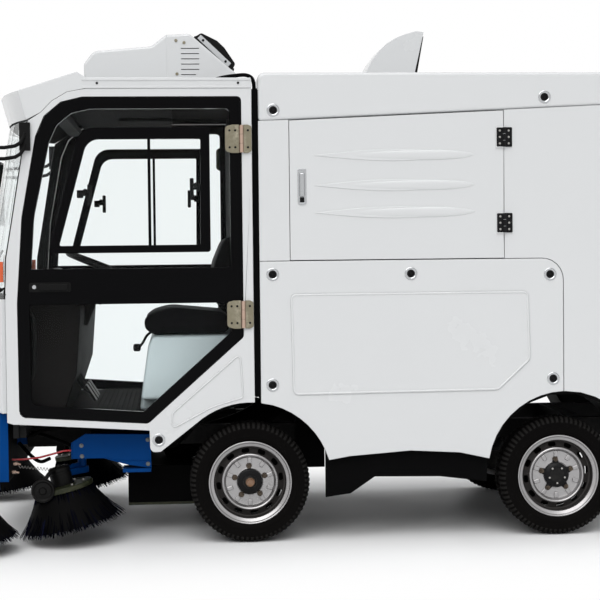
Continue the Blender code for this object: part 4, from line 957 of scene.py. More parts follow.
def make_tyre():
    """Spin the tyre, raise every second face of its shoulders and cut blocks into its middle."""
    steps = sizes().tyre_steps
    profile = list(TYRE_HALF) + [(r, -h) for r, h in reversed(TYRE_HALF)] + list(TYRE_INSIDE)
    obj = lathe("tyre", profile, steps)
    edit(obj)

    def lug(at, normal):
        on_shoulder = LUG_RADIUS < at.xy.length < TREAD_RADIUS and 0.0345 < abs(at.z) < 0.0721
        return on_shoulder and step_at(at.x, at.y, steps) % 2 == 0

    mark(obj, lug)
    bpy.ops.mesh.extrude_region_shrink_fatten(TRANSFORM_OT_shrink_fatten={"value": LUG_RISE})
    bpy.ops.mesh.select_all(action="DESELECT")

    def sipe(at, normal):
        on_tread = TREAD_RADIUS < at.xy.length < 0.2445 and abs(at.z) < 0.0262 and normal.xy.length > 0.8
        return on_tread and step_at(at.x, at.y, steps) % 3 == 0

    mark(obj, sipe)
    bpy.ops.mesh.extrude_region_shrink_fatten(TRANSFORM_OT_shrink_fatten={"value": -SIPE_DEPTH})
    leave()
    for vert in obj.data.vertices:
        reach = vert.co.xy.length
        if reach > TYRE_RADIUS:
            vert.co.x *= TYRE_RADIUS / reach
            vert.co.y *= TYRE_RADIUS / reach
        vert.co.z = max(-TYRE_HALF_WIDTH, min(TYRE_HALF_WIDTH, vert.co.z))
    return place(obj, WHEEL_PLACE)


def make_rim():
    """Spin the disc wheel, then cut its twelve vents and raise its ten pads."""
    obj = lathe("rim", RIM_PROFILE, sizes().rim_steps)
    vents = blocks_round("vent", (0.1195, -0.016, -0.01), (0.1375, 0.016, 0.05), 0.0065, 3, 12, 0.25)
    cut_with(obj, fuse("vents", vents))
    pads = blocks_round("pad", (0.073, -0.009, 0.018), (0.099, 0.009, 0.03), 0.0042, 4, 10, 0.5)
    return place(fuse("rim", [obj] + pads), WHEEL_PLACE)


def make_nuts():
    """The five wheel nuts with their washers and studs."""
    spots = round_spots(5, 0.0644, STUD_ANGLE)
    things = []
    for name, low, high, radius, end_radius, sides, width in (
            ("washer", 0.0225, 0.0262, 0.0128, 0.0115, 24, 0.0006),
            ("nut", 0.0258, 0.0382, 0.0102, 0.0098, 6, 0.0008),
            ("stud", 0.0375, 0.044, 0.0052, 0.0046, 12, 0.0006)):
        things += heads(name, spots, low, high, radius, end_radius, sides, width, "XY")
    return place(fuse("nuts", things), WHEEL_PLACE)


def from_hub(at):
    """The way in X and Z from the nearer axle to a spot."""
    return Vector((at.x - (0.0 if at.x < WHEELBASE / 2 else WHEELBASE), at.z - WHEEL_Z))


def sunken(at, normal):
    """The rim's channel outside its disc, which gets dark painted shade."""
    return 0.1165 < from_hub(at).length < 0.1482


def worn(at, normal):
    """The tops of the tyre's lugs, which get a paler rubber: partly wear, partly painted highlight."""
    spoke = from_hub(at)
    return (LUG_RADIUS < spoke.length < 0.2452 and abs(abs(at.y) - HALF_TRACK) > 0.03
            and step_at(spoke.x, spoke.y, sizes().tyre_steps) % 2 == 0)


def hub_cone(at, normal):
    """The cone under the hub's nut."""
    return from_hub(at).length > 0.0152


# Second finishes of the wheel pieces: dark painted shade in the rim's channel, paler lug tops that are partly wear
# and partly painted highlight, and a darker cone under the hub's nut.
WHEEL_SECONDS = {"rim": ("wheel_grime", sunken), "tyre": ("tyre_worn", worn), "hub_nut": ("nut_bronze", hub_cone)}


class SWEEPER_OT_wheels(bpy.types.Operator):
    """Model the tyres, disc wheels, hubs, nuts and brake drums."""
    bl_idname = "sweeper.wheels"
    bl_label = "Wheels"
    bl_options = {"REGISTER", "UNDO"}

    def execute(self, context):
        hub_front = lathe("hub_front", ((0.0, 0.05), (0.02, 0.05), (0.0245, 0.048), (0.026, 0.044),
                                        (0.027, 0.038), (0.044, 0.037), (0.049, 0.035), (0.0512, 0.031),
                                        (0.0515, 0.023), (0.0, 0.023)), 48, False, WHEEL_PLACE)
        hub_nut = place(fuse("hub_nut", [drum("cone", (0, 0, 0.0455), (0, 0, 0.056), 0.0225, 0.0185, 40, 0.001),
                                         drum("nut", (0, 0, 0.055), (0, 0, 0.069), 0.015, 0.0146, 6, 0.001)]),
                        WHEEL_PLACE)
        dome = lathe("hub_rear", ((0.0, 0.044), (0.03, 0.044), (0.043, 0.0415), (0.05, 0.036),
                                  (0.0515, 0.023), (0.0, 0.023)), 48, False)
        lobes = heads("lobe", round_spots(5, 0.054, STUD_ANGLE), 0.024, 0.0345, 0.014, 0.012, 20, 0.002, "XY")
        hub_rear = place(fuse("hub_rear", [dome] + lobes), WHEEL_PLACE)
        bolts = heads("bolt", round_spots(5, 0.0335, pi / 2 + pi / 5), 0.0425, 0.048, 0.0048, 0.0044, 6,
                      plane="XY")
        hub_bolts = place(fuse("hub_bolts", bolts), WHEEL_PLACE)
        brake = lathe("brake_drum", ((0.032, 0.008), (0.105, 0.008), (0.112, 0.005), (0.115, 0.0),
                                     (0.115, -0.044), (0.1415, -0.045), (0.1415, -0.052), (0.032, -0.052)),
                      64, True, WHEEL_PLACE)
        for obj, slot, look, stands, ends in (
                (make_tyre(), "tyre", "tyre_rubber", "tyre_END_SIDE", "front rear"),
                (make_rim(), "silver_steel", "wheel_silver", "rim_END_SIDE", "front rear"),
                (make_nuts(), "silver_steel", "nut_bronze", "", "front rear"),
                (hub_front, "dark_iron", "screw_black", "", "front"),
                (hub_nut, "dark_iron", "hub_brass", "", "front"),
                (hub_rear, "dark_iron", "screw_black", "", "rear"),
                (hub_bolts, "silver_steel", "zinc_steel", "", "rear"),
                (brake, "dark_iron", "dark_iron", "", "front rear")):
            stem = obj.name
            for end, shift in (("front", 0.0), ("rear", WHEELBASE)):
                if end in ends:
                    body = "wheel_%s_SIDE" % end
                    if obj == brake:
                        body = "knuckle_SIDE" if end == "front" else "chassis"
                    left = place(copy(obj, "%s_%s" % (stem, end)), Matrix.Translation((shift, 0.0, 0.0)))
                    both(left, body, slot, look, stands.replace("END", end), 32.0, WHEEL_SECONDS.get(stem))
            bpy.data.objects.remove(obj, do_unlink=True)
        return {"FINISHED"}


# Cab

GLASS_Y = 0.6697


class SWEEPER_OT_windows(bpy.types.Operator):
    """Model the sliding windows' frames, bars and latches."""
    bl_idname = "sweeper.windows"
    bl_label = "Windows"
    bl_options = {"REGISTER", "UNDO"}

    def execute(self, context):
        outer = rounded(((-0.802, 1.19, 0.012), (-0.668, 1.693, 0.075), (-0.15, 1.693, 0.016),
                         (-0.15, 1.19, 0.012)), 6)
        inner = rounded(((-0.757, 1.22, 0.006), (-0.64, 1.646, 0.06), (-0.187, 1.646, 0.006),
                         (-0.191, 1.22, 0.006)), 6)
        ring = slab("slider_frame", "XZ", outer, -GLASS_Y - 0.012, -GLASS_Y + 0.012, 0.0016, 2, inner)
        bar = brick("bar", (-0.4, -GLASS_Y - 0.008, 1.216), (-0.388, -GLASS_Y + 0.008, 1.65), 0.0012)
        both(fuse("slider_frame", [ring, bar]), "door_SIDE", "black_paint")
        latches = []
        y = -GLASS_Y + 0.012
        for x, z, way in ((-0.672, 1.428, 1), (-0.187, 1.45, -1)):
            grip = x + way * 0.036
            roll = x + way * 0.02
            latches += [
                brick("foot", (x - 0.013, y - 0.002, z - 0.016), (x + 0.013, y + 0.01, z + 0.016), 0.003),
                drum("stem", (x, y + 0.008, z), (x + way * 0.04, y + 0.022, z - 0.002), 0.0075, 0.006, 16, 0.001),
                brick("grip", (grip - 0.008, y + 0.014, z - 0.044), (grip + 0.008, y + 0.03, z + 0.04), 0.004, 3),
                drum("roll", (roll, y + 0.012, z + 0.012), (roll, y + 0.03, z + 0.012), 0.01, 0.009, 16, 0.001)]
        both(fuse("slider_latch", latches), "door_SIDE", "dark_plastic")
        return {"FINISHED"}


class SWEEPER_OT_door_gear(bpy.types.Operator):
    """Model the doors' hinges, handles and grab bars."""
    bl_idname = "sweeper.door_gear"
    bl_label = "Door gear"
    bl_options = {"REGISTER", "UNDO"}

    def execute(self, context):
        w = HALF_WIDTH
        pin = (-0.022, -w - 0.0078)
        leaf_in = -w - 0.0002
        leaf_out = -w - 0.0092
        for level, z in (("upper", 1.643), ("lower", 0.936)):
            for stem, body, screw_xs, corners in (
                    ("door", "door_SIDE", (-0.07, -0.047),
                     ((-0.088, z - 0.05, 0.016), (-0.06, z - 0.057, 0.012), (-0.031, z - 0.057, 0.003),
                      (-0.031, z + 0.057, 0.003), (-0.06, z + 0.057, 0.012), (-0.088, z + 0.05, 0.016))),
                    ("frame", "chassis", (0.004,),
                     ((-0.014, z - 0.057, 0.003), (0.004, z - 0.057, 0.01), (0.019, z - 0.05, 0.012),
                      (0.019, z + 0.05, 0.012), (0.004, z + 0.057, 0.01), (-0.014, z + 0.057, 0.003)))):
                leaf = slab("%s_hinge_%s" % (stem, level), "XZ", rounded(corners), leaf_out, leaf_in, 0.0022, 3)
                both(leaf, body, "silver_steel", "hinge_cast")
                screws = heads("screw", [(x, z + dz) for x in screw_xs for dz in (-0.034, 0.034)], leaf_out + 0.001,
                               leaf_out - 0.0018, 0.0052, 0.0036)
                both(fuse("%s_hinge_screws_%s" % (stem, level), screws), body, "black_paint", "screw_black")
            barrels = [drum("barrel", (*pin, z + low), (*pin, z + high), 0.0084, None, 24, 0.0012)
                       for low, high in ((-0.055, -0.019), (-0.018, 0.018), (0.019, 0.055))]
            both(fuse("hinge_barrel_" + level, barrels), "door_SIDE", "silver_steel", "hinge_barrel")
        plate = slab("door_handle", "XZ", panel((-0.877, -0.711), (1.036, 1.074), 0.008), -w - 0.0035, -w + 0.001,
                     0.0014, 3)
        paddle = brick("paddle", (-0.835, -w - 0.013, 1.042), (-0.722, -w - 0.006, 1.068), 0.0028, 3)
        post = brick("post", (-0.738, -w - 0.008, 1.046), (-0.728, -w + 0.001, 1.064), 0.001)
        both(fuse("door_handle", [plate, paddle, post]), "door_SIDE", "dark_plastic")
        lock = lathe("door_lock", ((0.0, 0.0062), (0.003, 0.0062), (0.0075, 0.0058), (0.009, 0.004), (0.009, 0.0),
                                   (0.0, 0.0)), 32, False, turned((-0.856, -w - 0.003, 1.057), 90.0))
        both(lock, "door_SIDE", "silver_steel", "chrome_ring")
        line = ((-0.905, -0.665, 0.955), (-0.878, -0.651, 0.945), (-0.866, -0.647, 0.9), (-0.866, -0.647, 0.76),
                (-0.872, -0.649, 0.7), (-0.892, -0.655, 0.672), (-0.905, -0.665, 0.66))
        both(tube("grab_bar", eased(line), 0.0095), "door_SIDE", "dark_plastic")
        return {"FINISHED"}


SWELL_FRAMES = 16


def inflate(obj, cap, pressure=4.0):
    """Swell a pad with a cloth simulation, no point moving further than the cap."""
    apply(obj, "REMESH", mode="VOXEL", voxel_size=0.007, use_smooth_shade=True)
    start = [vertex.co.copy() for vertex in obj.data.vertices]
    cloth = obj.modifiers.new("swell", "CLOTH")
    cloth.settings.use_pressure = True
    cloth.settings.uniform_pressure_force = pressure
    cloth.settings.effector_weights.gravity = 0.0
    cloth.point_cache.frame_start = 1
    cloth.point_cache.frame_end = SWELL_FRAMES
    scene = bpy.context.scene
    for number in range(1, SWELL_FRAMES + 1):
        scene.frame_set(number)
    only(obj)
    bpy.ops.object.modifier_apply(modifier="swell")
    scene.frame_set(1)
    for vertex, before in zip(obj.data.vertices, start):
        step = vertex.co - before
        if step.length > cap:
            vertex.co = before + step.normalized() * cap
    return apply(obj, "SMOOTH", factor=0.5, iterations=4)


def fit_box(obj, low, high):
    """Bring a swollen piece back inside the space that its solid holds."""
    spots = [vertex.co for vertex in obj.data.vertices]
    now_low = Vector([min(p[i] for p in spots) for i in range(3)])
    now_high = Vector([max(p[i] for p in spots) for i in range(3)])
    for vertex in obj.data.vertices:
        for i in range(3):
            share = (vertex.co[i] - now_low[i]) / (now_high[i] - now_low[i])
            vertex.co[i] = low[i] + share * (high[i] - low[i])
    return obj


class SWEEPER_OT_seat(bpy.types.Operator):
    """Model the driver's cushion and backrest as padded vinyl."""
    bl_idname = "sweeper.seat"
    bl_label = "Seat"
    bl_options = {"REGISTER", "UNDO"}

    def execute(self, context):
        low, high = truck_box("seat_cushion")
        line = rounded(((low.x + 0.016, low.z + 0.008, 0.028), (high.x - 0.006, low.z + 0.012, 0.02),
                        (high.x - 0.004, high.z - 0.03, 0.026), (low.x + 0.11, high.z - 0.006, 0.14),
                        (low.x + 0.012, high.z - 0.034, 0.026)))
        cushion = slab("seat_cushion_pad", "XZ", line, low.y + 0.014, high.y - 0.014, 0.022, 4)
        inflate(cushion, 0.012)
        fit_box(cushion, low, high + Vector((0.006, 0.0, 0.01)))
        settle(cushion, "chassis", "black_vinyl", "seat_vinyl", ("seat_cushion",), 180.0)
        low, high = truck_box("seat_back")
        line = rounded(((high.x - 0.002, low.z + 0.012, 0.01), (low.x + 0.02, low.z + 0.012, 0.025),
                        (low.x + 0.006, high.z - 0.11, 0.04), (high.x - 0.03, high.z - 0.006, 0.024),
                        (high.x - 0.002, high.z - 0.006, 0.01)))
        back = slab("seat_back_pad", "XZ", line, low.y + 0.012, high.y - 0.012, 0.014, 4)
        inflate(back, 0.01)
        fit_box(back, low, high)
        settle(back, "chassis", "black_vinyl", "seat_vinyl", ("seat_back",), 180.0)
        stem = ((-0.452, -0.302, 0.786), (-0.436, -0.302, 0.806), (-0.42, -0.302, 0.834), (-0.398, -0.302, 0.852))
        lever = [brick("knob", (-0.478, -0.318, 0.768), (-0.446, -0.286, 0.8), 0.009, 3),
                 tube("stem", eased(stem), 0.0055)]
        settle(fuse("seat_lever", lever), "chassis", "dark_plastic")
        return {"FINISHED"}


class SWEEPER_OT_interior(bpy.types.Operator):
    """Model the steering wheel, headliner, visor, floor mat, pedals and switch pod."""
    bl_idname = "sweeper.interior"
    bl_label = "Interior"
    bl_options = {"REGISTER", "UNDO"}

    def execute(self, context):
        tilt = turned(middle_of("steering_wheel") - Vector((AXLE_X, 0.0, 0.0)), 22.0, "Y")
        ring = lathe("wheel", [(0.158 + u, v) for u, v in round_spots(14, 0.0125)], 72)
        boss = lathe("boss", ((0.0, 0.016), (0.026, 0.015), (0.036, 0.008), (0.04, -0.004), (0.034, -0.018),
                              (0.0, -0.018)), 40, False)
        spokes = blocks_round("spoke", (0.03, -0.011, -0.006), (0.15, 0.011, 0.003), 0.0028, 3, 3, 0.75)
        wheel = place(fuse("steering_wheel_rim", [ring, boss] + spokes), tilt)
        settle(wheel, "steering", "dark_plastic", stands_for=("steering_wheel",))
        boot = lathe("column_boot", ((0.029, 0.0), (0.034, -0.004), (0.04, -0.05), (0.046, -0.12),
                                     (0.048, -0.135), (0.029, -0.135)),
                     40, True, tilt @ Matrix.Translation((0.0, 0.0, -0.02)))
        line = eased(((0.0, 0.035, -0.045), (0.02, 0.08, -0.04), (0.03, 0.135, -0.03)), 4)
        stalk = tube("stalk", [tilt @ point for point in line], 0.0042)
        settle(fuse("column_boot", [boot, stalk]), "chassis", "dark_plastic")
        liner = slab("headliner", "XY", panel((-0.77, 0.01), (-0.655, 0.655), 0.02), 1.8385, 1.8455, 0.001)
        settle(liner, "chassis", "dark_plastic", "headliner")
        rail = rounded(((-0.74, 1.838, 0.006), (-0.56, 1.838, 0.006), (-0.52, 1.786, 0.02), (-0.6, 1.772, 0.02),
                        (-0.735, 1.79, 0.02)))
        settle(slab("liner_step", "XZ", rail, -0.655, 0.655, 0.004), "chassis", "dark_plastic", "headliner")
        visors = []
        for low, high in ((-0.5, -0.09), (0.09, 0.5)):
            visors.append(brick("visor", (-0.56, low, 1.782), (-0.3, high, 1.8), 0.007, 3))
            for y in (low + 0.02, high - 0.02):
                visors.append(drum("pin", (-0.545, y, 1.796), (-0.545, y, 1.84), 0.007, None, 16))
        settle(fuse("sun_visors", visors), "chassis", "dark_plastic", "headliner")
        ribs = [brick("mat", (-0.655, -0.64, 0.5203), (-0.462, 0.64, 0.525), 0.0018)]
        ribs += [brick("rib", (x, -0.63, 0.524), (x + 0.009, 0.63, 0.5285), 0.0016)
                 for x in row(-0.645, 0.0215, 9)]
        settle(fuse("floor_mat", ribs), "chassis", "rubber", "sheet_rubber")
        pedals = []
        for y in (-0.395, -0.27, -0.165):
            pad = brick("pad", (-0.012, -0.032, -0.04), (0.0, 0.032, 0.04), 0.003)
            pedals.append(place(pad, turned((-0.65, y, 0.605), -32.0, "Y")))
            pedals.append(tube("arm", eased(((-0.655, y, 0.6), (-0.7, y, 0.64), (-0.735, y, 0.72)), 4), 0.007))
        settle(fuse("pedals", pedals), "chassis", "dark_iron", "screw_black")
        pod = rounded(((-0.9, 1.049, 0.006), (-0.73, 1.03, 0.012), (-0.742, 1.1, 0.02), (-0.8, 1.128, 0.02),
                       (-0.89, 1.11, 0.02)))
        settle(slab("switch_pod", "XZ", pod, -0.44, -0.11, 0.005, 3), "chassis", "dark_plastic")
        face = ((0.0, 0.004), (0.024, 0.004), (0.028, 0.006), (0.031, 0.004), (0.031, 0.0), (0.0, 0.0))
        dials = [lathe("dial", face, 32, False, turned((-0.7345, y, 1.066), 80.0, "Y"))
                 for y in (-0.35, -0.275, -0.2)]
        settle(fuse("dials", dials), "chassis", "dark_plastic", "chrome_ring")
        return {"FINISHED"}


# Hatches and roof gear

class SWEEPER_OT_hatches(bpy.types.Operator):
    """Model the hatches' hinges, screws and recessed handles."""
    bl_idname = "sweeper.hatches"
    bl_label = "Hatch gear"
    bl_options = {"REGISTER", "UNDO"}

    def execute(self, context):
        w = HALF_WIDTH
        pin = (1.049, -w - 0.0078)
        leaves = {"hatch_SIDE": [], "chassis": []}
        screws = {"hatch_SIDE": [], "chassis": []}
        for z in (1.296, 1.645):
            for body, xs in (("hatch_SIDE", (1.016, 1.0455)), ("chassis", (1.0525, 1.0815))):
                outline = panel(xs, (z - 0.04, z + 0.04), 0.005)
                leaves[body].append(slab("leaf", "XZ", outline, -w - 0.008, -w - 0.0002, 0.0014))
                spots = [(sum(xs) / 2, z + dz) for dz in (-0.026, 0.0, 0.026)]
                screws[body] += heads("screw", spots, -w - 0.0075, -w - 0.01, 0.005, 0.0034)
            for low, high in ((-0.04, -0.014), (-0.013, 0.013), (0.014, 0.04)):
                barrel = drum("barrel", (*pin, z + low), (*pin, z + high), 0.0068, None, 20, 0.001)
                leaves["hatch_SIDE"].append(barrel)
        for body, stem in (("hatch_SIDE", "hatch_hinge"), ("chassis", "shell_hinge")):
            both(fuse(stem, leaves[body]), body, "black_paint", "screw_black")
            both(fuse(stem + "_screws", screws[body]), body, "silver_steel", "zinc_steel")
        ring = slab("handle_plate", "XZ", panel((0.203, 0.238), (1.376, 1.522), 0.007), -w - 0.003, -w + 0.001,
                    0.0012, 2, panel((0.209, 0.232), (1.384, 1.514), 0.004))
        grip = brick("grip", (0.211, -w - 0.008, 1.41), (0.23, -w - 0.001, 1.505), 0.0045, 4)
        both(fuse("hatch_handle", [ring, grip]), "hatch_SIDE", "silver_steel", "chrome_ring")
        cup = brick("handle_cup", (0.2085, -w - 0.0012, 1.3835), (0.2325, -w + 0.001, 1.5145), 0.0005, 1)
        both(cup, "hatch_SIDE", "silver_steel", "fin_alloy")
        lock = [brick("lock", (0.2115, -w - 0.0046, 1.386), (0.2295, -w - 0.0005, 1.407), 0.002)]
        lock += heads("pin", ((0.2205, 1.3965),), -w - 0.004, -w - 0.0062, 0.005, 0.0044, 20)
        both(fuse("hatch_lock", lock), "hatch_SIDE", "black_paint", "screw_black")
        return {"FINISHED"}


class SWEEPER_OT_cooler(bpy.types.Operator):
    """Model the cooling unit's louvres, bolts, guard bars, fans and cable."""
    bl_idname = "sweeper.cooler"
    bl_label = "Cooling unit"
    bl_options = {"REGISTER", "UNDO"}

    def execute(self, context):
        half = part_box("cooler_housing")[1].y
        slots = []
        lips = []
        for z in row(1.9415, 0.0222, 6):
            end = -0.182 if lips else -0.196
            # Near-black strips painted as the shade inside the louvre openings, each under its lip.
            slots.append(brick("slot", (-0.258, -half - 0.0006, z), (end, -half + 0.002, z + 0.0032), 0.0004, 1))
            lips.append(brick("lip", (-0.26, -half - 0.003, z + 0.003), (end + 0.002, -half + 0.001, z + 0.0062),
                              0.001))
        both(fuse("louvre_slot", slots), "chassis", "white_paint", "headliner")
        lips.append(brick("seam", (-0.3205, -half - 0.0012, 1.897), (-0.3175, -half + 0.001, 2.112), 0.0005, 1))
        both(fuse("louvre_lip", lips), "chassis", "white_paint")
        bolts = heads("bolt", ((-0.279, 2.087), (-0.245, 2.078), (-0.276, 1.946)), -half + 0.001, -half - 0.0035,
                      0.0078, 0.0066, 6, 0.0008)
        both(fuse("cooler_bolts", bolts), "chassis", "silver_steel", "hinge_cast")
        top = Vector((-0.18, 0.0, 2.108))
        run = Vector((-0.052, 0.0, 1.986)) - top
        length = run.length
        lie = Matrix.Translation(top) @ Matrix.Rotation(atan2(-run.z, run.x), 4, "Y")
        bar = brick("guard_bar", (0.0, -0.302, -0.011), (length, -0.268, 0.011))
        both(place(bar, lie), "chassis", "silver_steel", "fin_alloy")
        pins = heads("pin", ((length * 0.13, 0.0), (length * 0.87, 0.0)), -0.3, -0.306, 0.0062, 0.005, 16, 0.0008)
        both(place(fuse("guard_bar_bolts", pins), lie), "chassis", "black_paint", "screw_black")
        cheek = rounded(((-0.014, -0.016, 0.006), (length + 0.024, -0.016, 0.006), (length + 0.014, 0.022, 0.012),
                         (length * 0.62, 0.04, 0.02), (length * 0.38, 0.04, 0.02), (-0.004, 0.018, 0.012)))
        both(place(slab("fan_cheek", "XZ", cheek, -0.2995, -0.27, 0.002), lie), "chassis", "black_paint",
             "dark_plastic")
        low, high = truck_box("cooler_fan_guard")
        middle = Vector(((low.x + high.x) / 2, 0.0, (low.z + high.z) / 2))
        fan_lie = Matrix.Translation(middle) @ Matrix.Rotation(atan2(high.z - low.z, high.x - low.x), 4, "Y")
        wires = []
        for y in (-0.135, 0.135):
            spin = fan_lie @ Matrix.Translation((0.0, y, 0.0135))
            for radius in (0.028, 0.046, 0.064, 0.082):
                wires.append(lathe("wire", [(radius + u, v) for u, v in round_spots(6, 0.0018)], 48, True, spin))
            for k in range(4):
                wire = drum("wire", (-0.09, 0.0, 0.002), (0.09, 0.0, 0.002), 0.0018, None, 8)
                wires.append(place(wire, spin @ Matrix.Rotation(pi * k / 4, 4, "Z")))
            wires.append(place(drum("boss", (0.0, 0.0, -0.006), (0.0, 0.0, 0.006), 0.026, 0.024, 32, 0.002), spin))
        settle(fuse("fan_wires", wires), "chassis", "black_paint", "screw_black")
        cable = ((-0.165, -0.325, 1.902), (-0.14, -0.43, 1.903), (-0.095, -0.56, 1.904), (-0.045, -0.64, 1.903),
                 (0.0, -0.66, 1.903), (0.026, -0.664, 1.888), (0.033, -0.664, 1.85), (0.033, -0.664, 1.78))
        settle(tube("cooler_cable", eased(cable), 0.0078), "chassis", "rubber", "sheet_rubber")
        return {"FINISHED"}


# Brushes

# End, X and Y of the disc's middle, its height and radius, the skirt's radius, the lean in degrees, the splay of the
# strands past the skirt, the radius of the bolts' circle, the arm's pivot and the height of the pivot's foot
BRUSHES = (("front", 1.17, 0.72, 0.198, 0.125, 0.225, 7.0, 0.0, 0.0805, (-1.045, -0.6), 0.2677),
           ("mid", 0.765, 0.54, 0.228, 0.122, 0.205, 13.0, 0.022, 0.0851, (-0.695, -0.43), 0.3447))
BRISTLE_LENGTH = 0.168
TUFT_ROWS = 4
TUFTS_ROUND = 46
STRAND_STEPS = ((0.0, 0.0015), (0.35, 0.0014), (0.7, 0.0013), (1.0, 0.001))
ARM_LIFT = 0.031


def tufts(name, root, tip, seed, splay=0.0):
    """Rings of three sided strands that curve outwards, with a tint for each tuft."""
    rng = random.Random(seed)
    points = []
    faces = []
    tints = []
    for rank in range(TUFT_ROWS):
        share = rank / (TUFT_ROWS - 1)
        for tuft in range(TUFTS_ROUND):
            middle = 2 * pi * (tuft + 0.5 * (rank % 2)) / TUFTS_ROUND
            shade = rng.random()
            for _ in range(sizes().strands):
                a = middle + rng.uniform(-0.06, 0.06)
                lag = rng.uniform(-0.05, 0.07)
                r0 = root - 0.036 * share + rng.uniform(-0.004, 0.004)
                r1 = tip - 0.055 * share + rng.uniform(-0.01, splay * (1.0 - share))
                drop = BRISTLE_LENGTH - rng.uniform(0.001, 0.012)
                base = len(points)
                for step, thick in STRAND_STEPS:
                    radius = r0 + (r1 - r0) * (0.55 * step + 0.45 * step * step)
                    spin = a + lag * step * step
                    depth = -0.006 - (drop - 0.006) * step
                    for k in range(3):
                        b = spin + 2 * pi * k / 3
                        points.append((radius * cos(spin) + thick * cos(b),
                                       radius * sin(spin) + thick * sin(b), depth))
                        tints.append(min(1.0, max(0.0, shade * 0.8 + rng.uniform(0.0, 0.2))))
                for ring in range(3):
                    for k in range(3):
                        p = base + ring * 3 + k
                        q = base + ring * 3 + (k + 1) % 3
                        faces.append((p, q, q + 3, p + 3))
                faces.append((base + 2, base + 1, base))
                faces.append((base + 9, base + 10, base + 11))
    mesh = bpy.data.meshes.new(name)
    mesh.from_pydata(points, [], faces)
    mesh.attributes.new("tint", "FLOAT", "POINT").data.foreach_set("value", tints)
    obj = bpy.data.objects.new(name, mesh)
    bpy.context.scene.collection.objects.link(obj)
    return obj


def arm_piece(end, x, y, level, pivot, foot):
    """The left arm: its bar, the web on it and the pivot post."""
    start = Vector((*pivot, level))
    reach = Vector((x - pivot[0], y - pivot[1], 0.0))
    turn = Matrix.Translation(start) @ Matrix.Rotation(atan2(reach.y, reach.x), 4, "Z")
    length = reach.length
    plan = rounded(((-0.026, -0.024, 0.016), (length + 0.03, -0.024, 0.016), (length + 0.03, 0.024, 0.016),
                    (-0.026, 0.024, 0.016)))
    side = rounded(((0.0, 0.01, 0.003), (length - 0.02, 0.01, 0.003), (length * 0.5, 0.03, 0.02),
                    (0.01, 0.03, 0.008)))
    bar = place(slab("bar", "XY", plan, -0.013, 0.013, 0.002, 3), turn)
    web = place(slab("web", "XZ", side, -0.004, 0.004, 0.001), turn)
    post = drum("post", (*pivot, level - 0.016), (*pivot, foot), 0.0178, None, 32, 0.001)
    return fuse("brush_arm_frame_" + end, [bar, web, post])


class SWEEPER_OT_brushes(bpy.types.Operator):
    """Model the four side brushes, their discs, motors and arms."""
    bl_idname = "sweeper.brushes"
    bl_label = "Side brushes"
    bl_options = {"REGISTER", "UNDO"}

    def execute(self, context):
        for number, (end, x, y, height, radius, tip, tilt, splay, circle, pivot, foot) in enumerate(BRUSHES):
            for label, side in SIDES:
                lean = turned((-x, side * y, height), -tilt, "Y")
                spin = "side_brush_%s_%s" % (end, label)
                tail = "_%s_%s" % (end, label)
                skirt = place(tufts("bristles" + tail, radius - 0.008, tip - 0.001, 11 + number, splay), lean)
                settle(skirt, spin, "bristle", "bristle", ("brush" + tail,), 60.0)
                core = lathe("bristle_core" + tail,
                             ((radius - 0.03, -0.008), (radius - 0.01, -0.008), (radius + 0.03, -0.07),
                              (tip - 0.016, -0.15), (tip - 0.04, -0.15), (radius + 0.004, -0.07)), 48, True, lean)
                settle(core, spin, "bristle", "sheet_rubber")
                disc = lathe("brush_disc" + tail,
                             ((0.03, 0.0105), (0.06, 0.0105), (0.066, 0.0085), (radius - 0.022, 0.0085),
                              (radius - 0.016, 0.0105), (radius - 0.003, 0.01), (radius, 0.007), (radius, -0.008),
                              (radius - 0.003, -0.0108), (0.03, -0.0108)), 64, True, lean)
                settle(disc, spin, "bristle", "disc_olive")
                bolts = heads("bolt", round_spots(6, circle), 0.008, 0.015, 0.0062, 0.0058, 6, 0.0006, "XY")
                settle(place(fuse("brush_bolts" + tail, bolts), lean), spin, "silver_steel", "zinc_steel")
            level = height + radius * sin(radians(tilt)) + ARM_LIFT
            arm = arm_piece(end, -x, -y, level, pivot, foot)
            both(arm, "arm_%s_SIDE" % end, "blue_paint", "blue_paint", "brush_arm_%s_SIDE" % end)
            motor = lathe("brush_motor_" + end, ((0.0, 0.094), (0.012, 0.094), (0.014, 0.088), (0.04, 0.086),
                                                 (0.0445, 0.082), (0.045, 0.07), (0.043, 0.068), (0.043, 0.06),
                                                 (0.045, 0.058), (0.045, 0.018), (0.049, 0.015), (0.049, 0.0113),
                                                 (0.0, 0.0113)), 40, False, turned((-x, -y, height), -tilt, "Y"))
            both(motor, "arm_%s_SIDE" % end, "black_paint", "dark_plastic")
        roller = lathe("guard_roller", ((0.0, 0.016), (0.012, 0.016), (0.016, 0.01), (0.034, 0.008), (0.04, 0.013),
                                        (0.046, 0.012), (0.048, 0.006), (0.048, -0.01), (0.044, -0.014),
                                        (0.0, -0.014)), 48, False, turned((-0.839, -0.652, 0.232), 90.0))
        strut = tube("strut", eased(((-0.839, -0.64, 0.232), (-0.836, -0.628, 0.262), (-0.815, -0.6, 0.296),
                                     (-0.79, -0.565, 0.306))), 0.0085)
        both(fuse("guard_roller", [roller, strut]), "arm_mid_SIDE", "black_paint", "dark_plastic")
        return {"FINISHED"}


# Front, rear and underside

NOSE_BULGE = 0.12
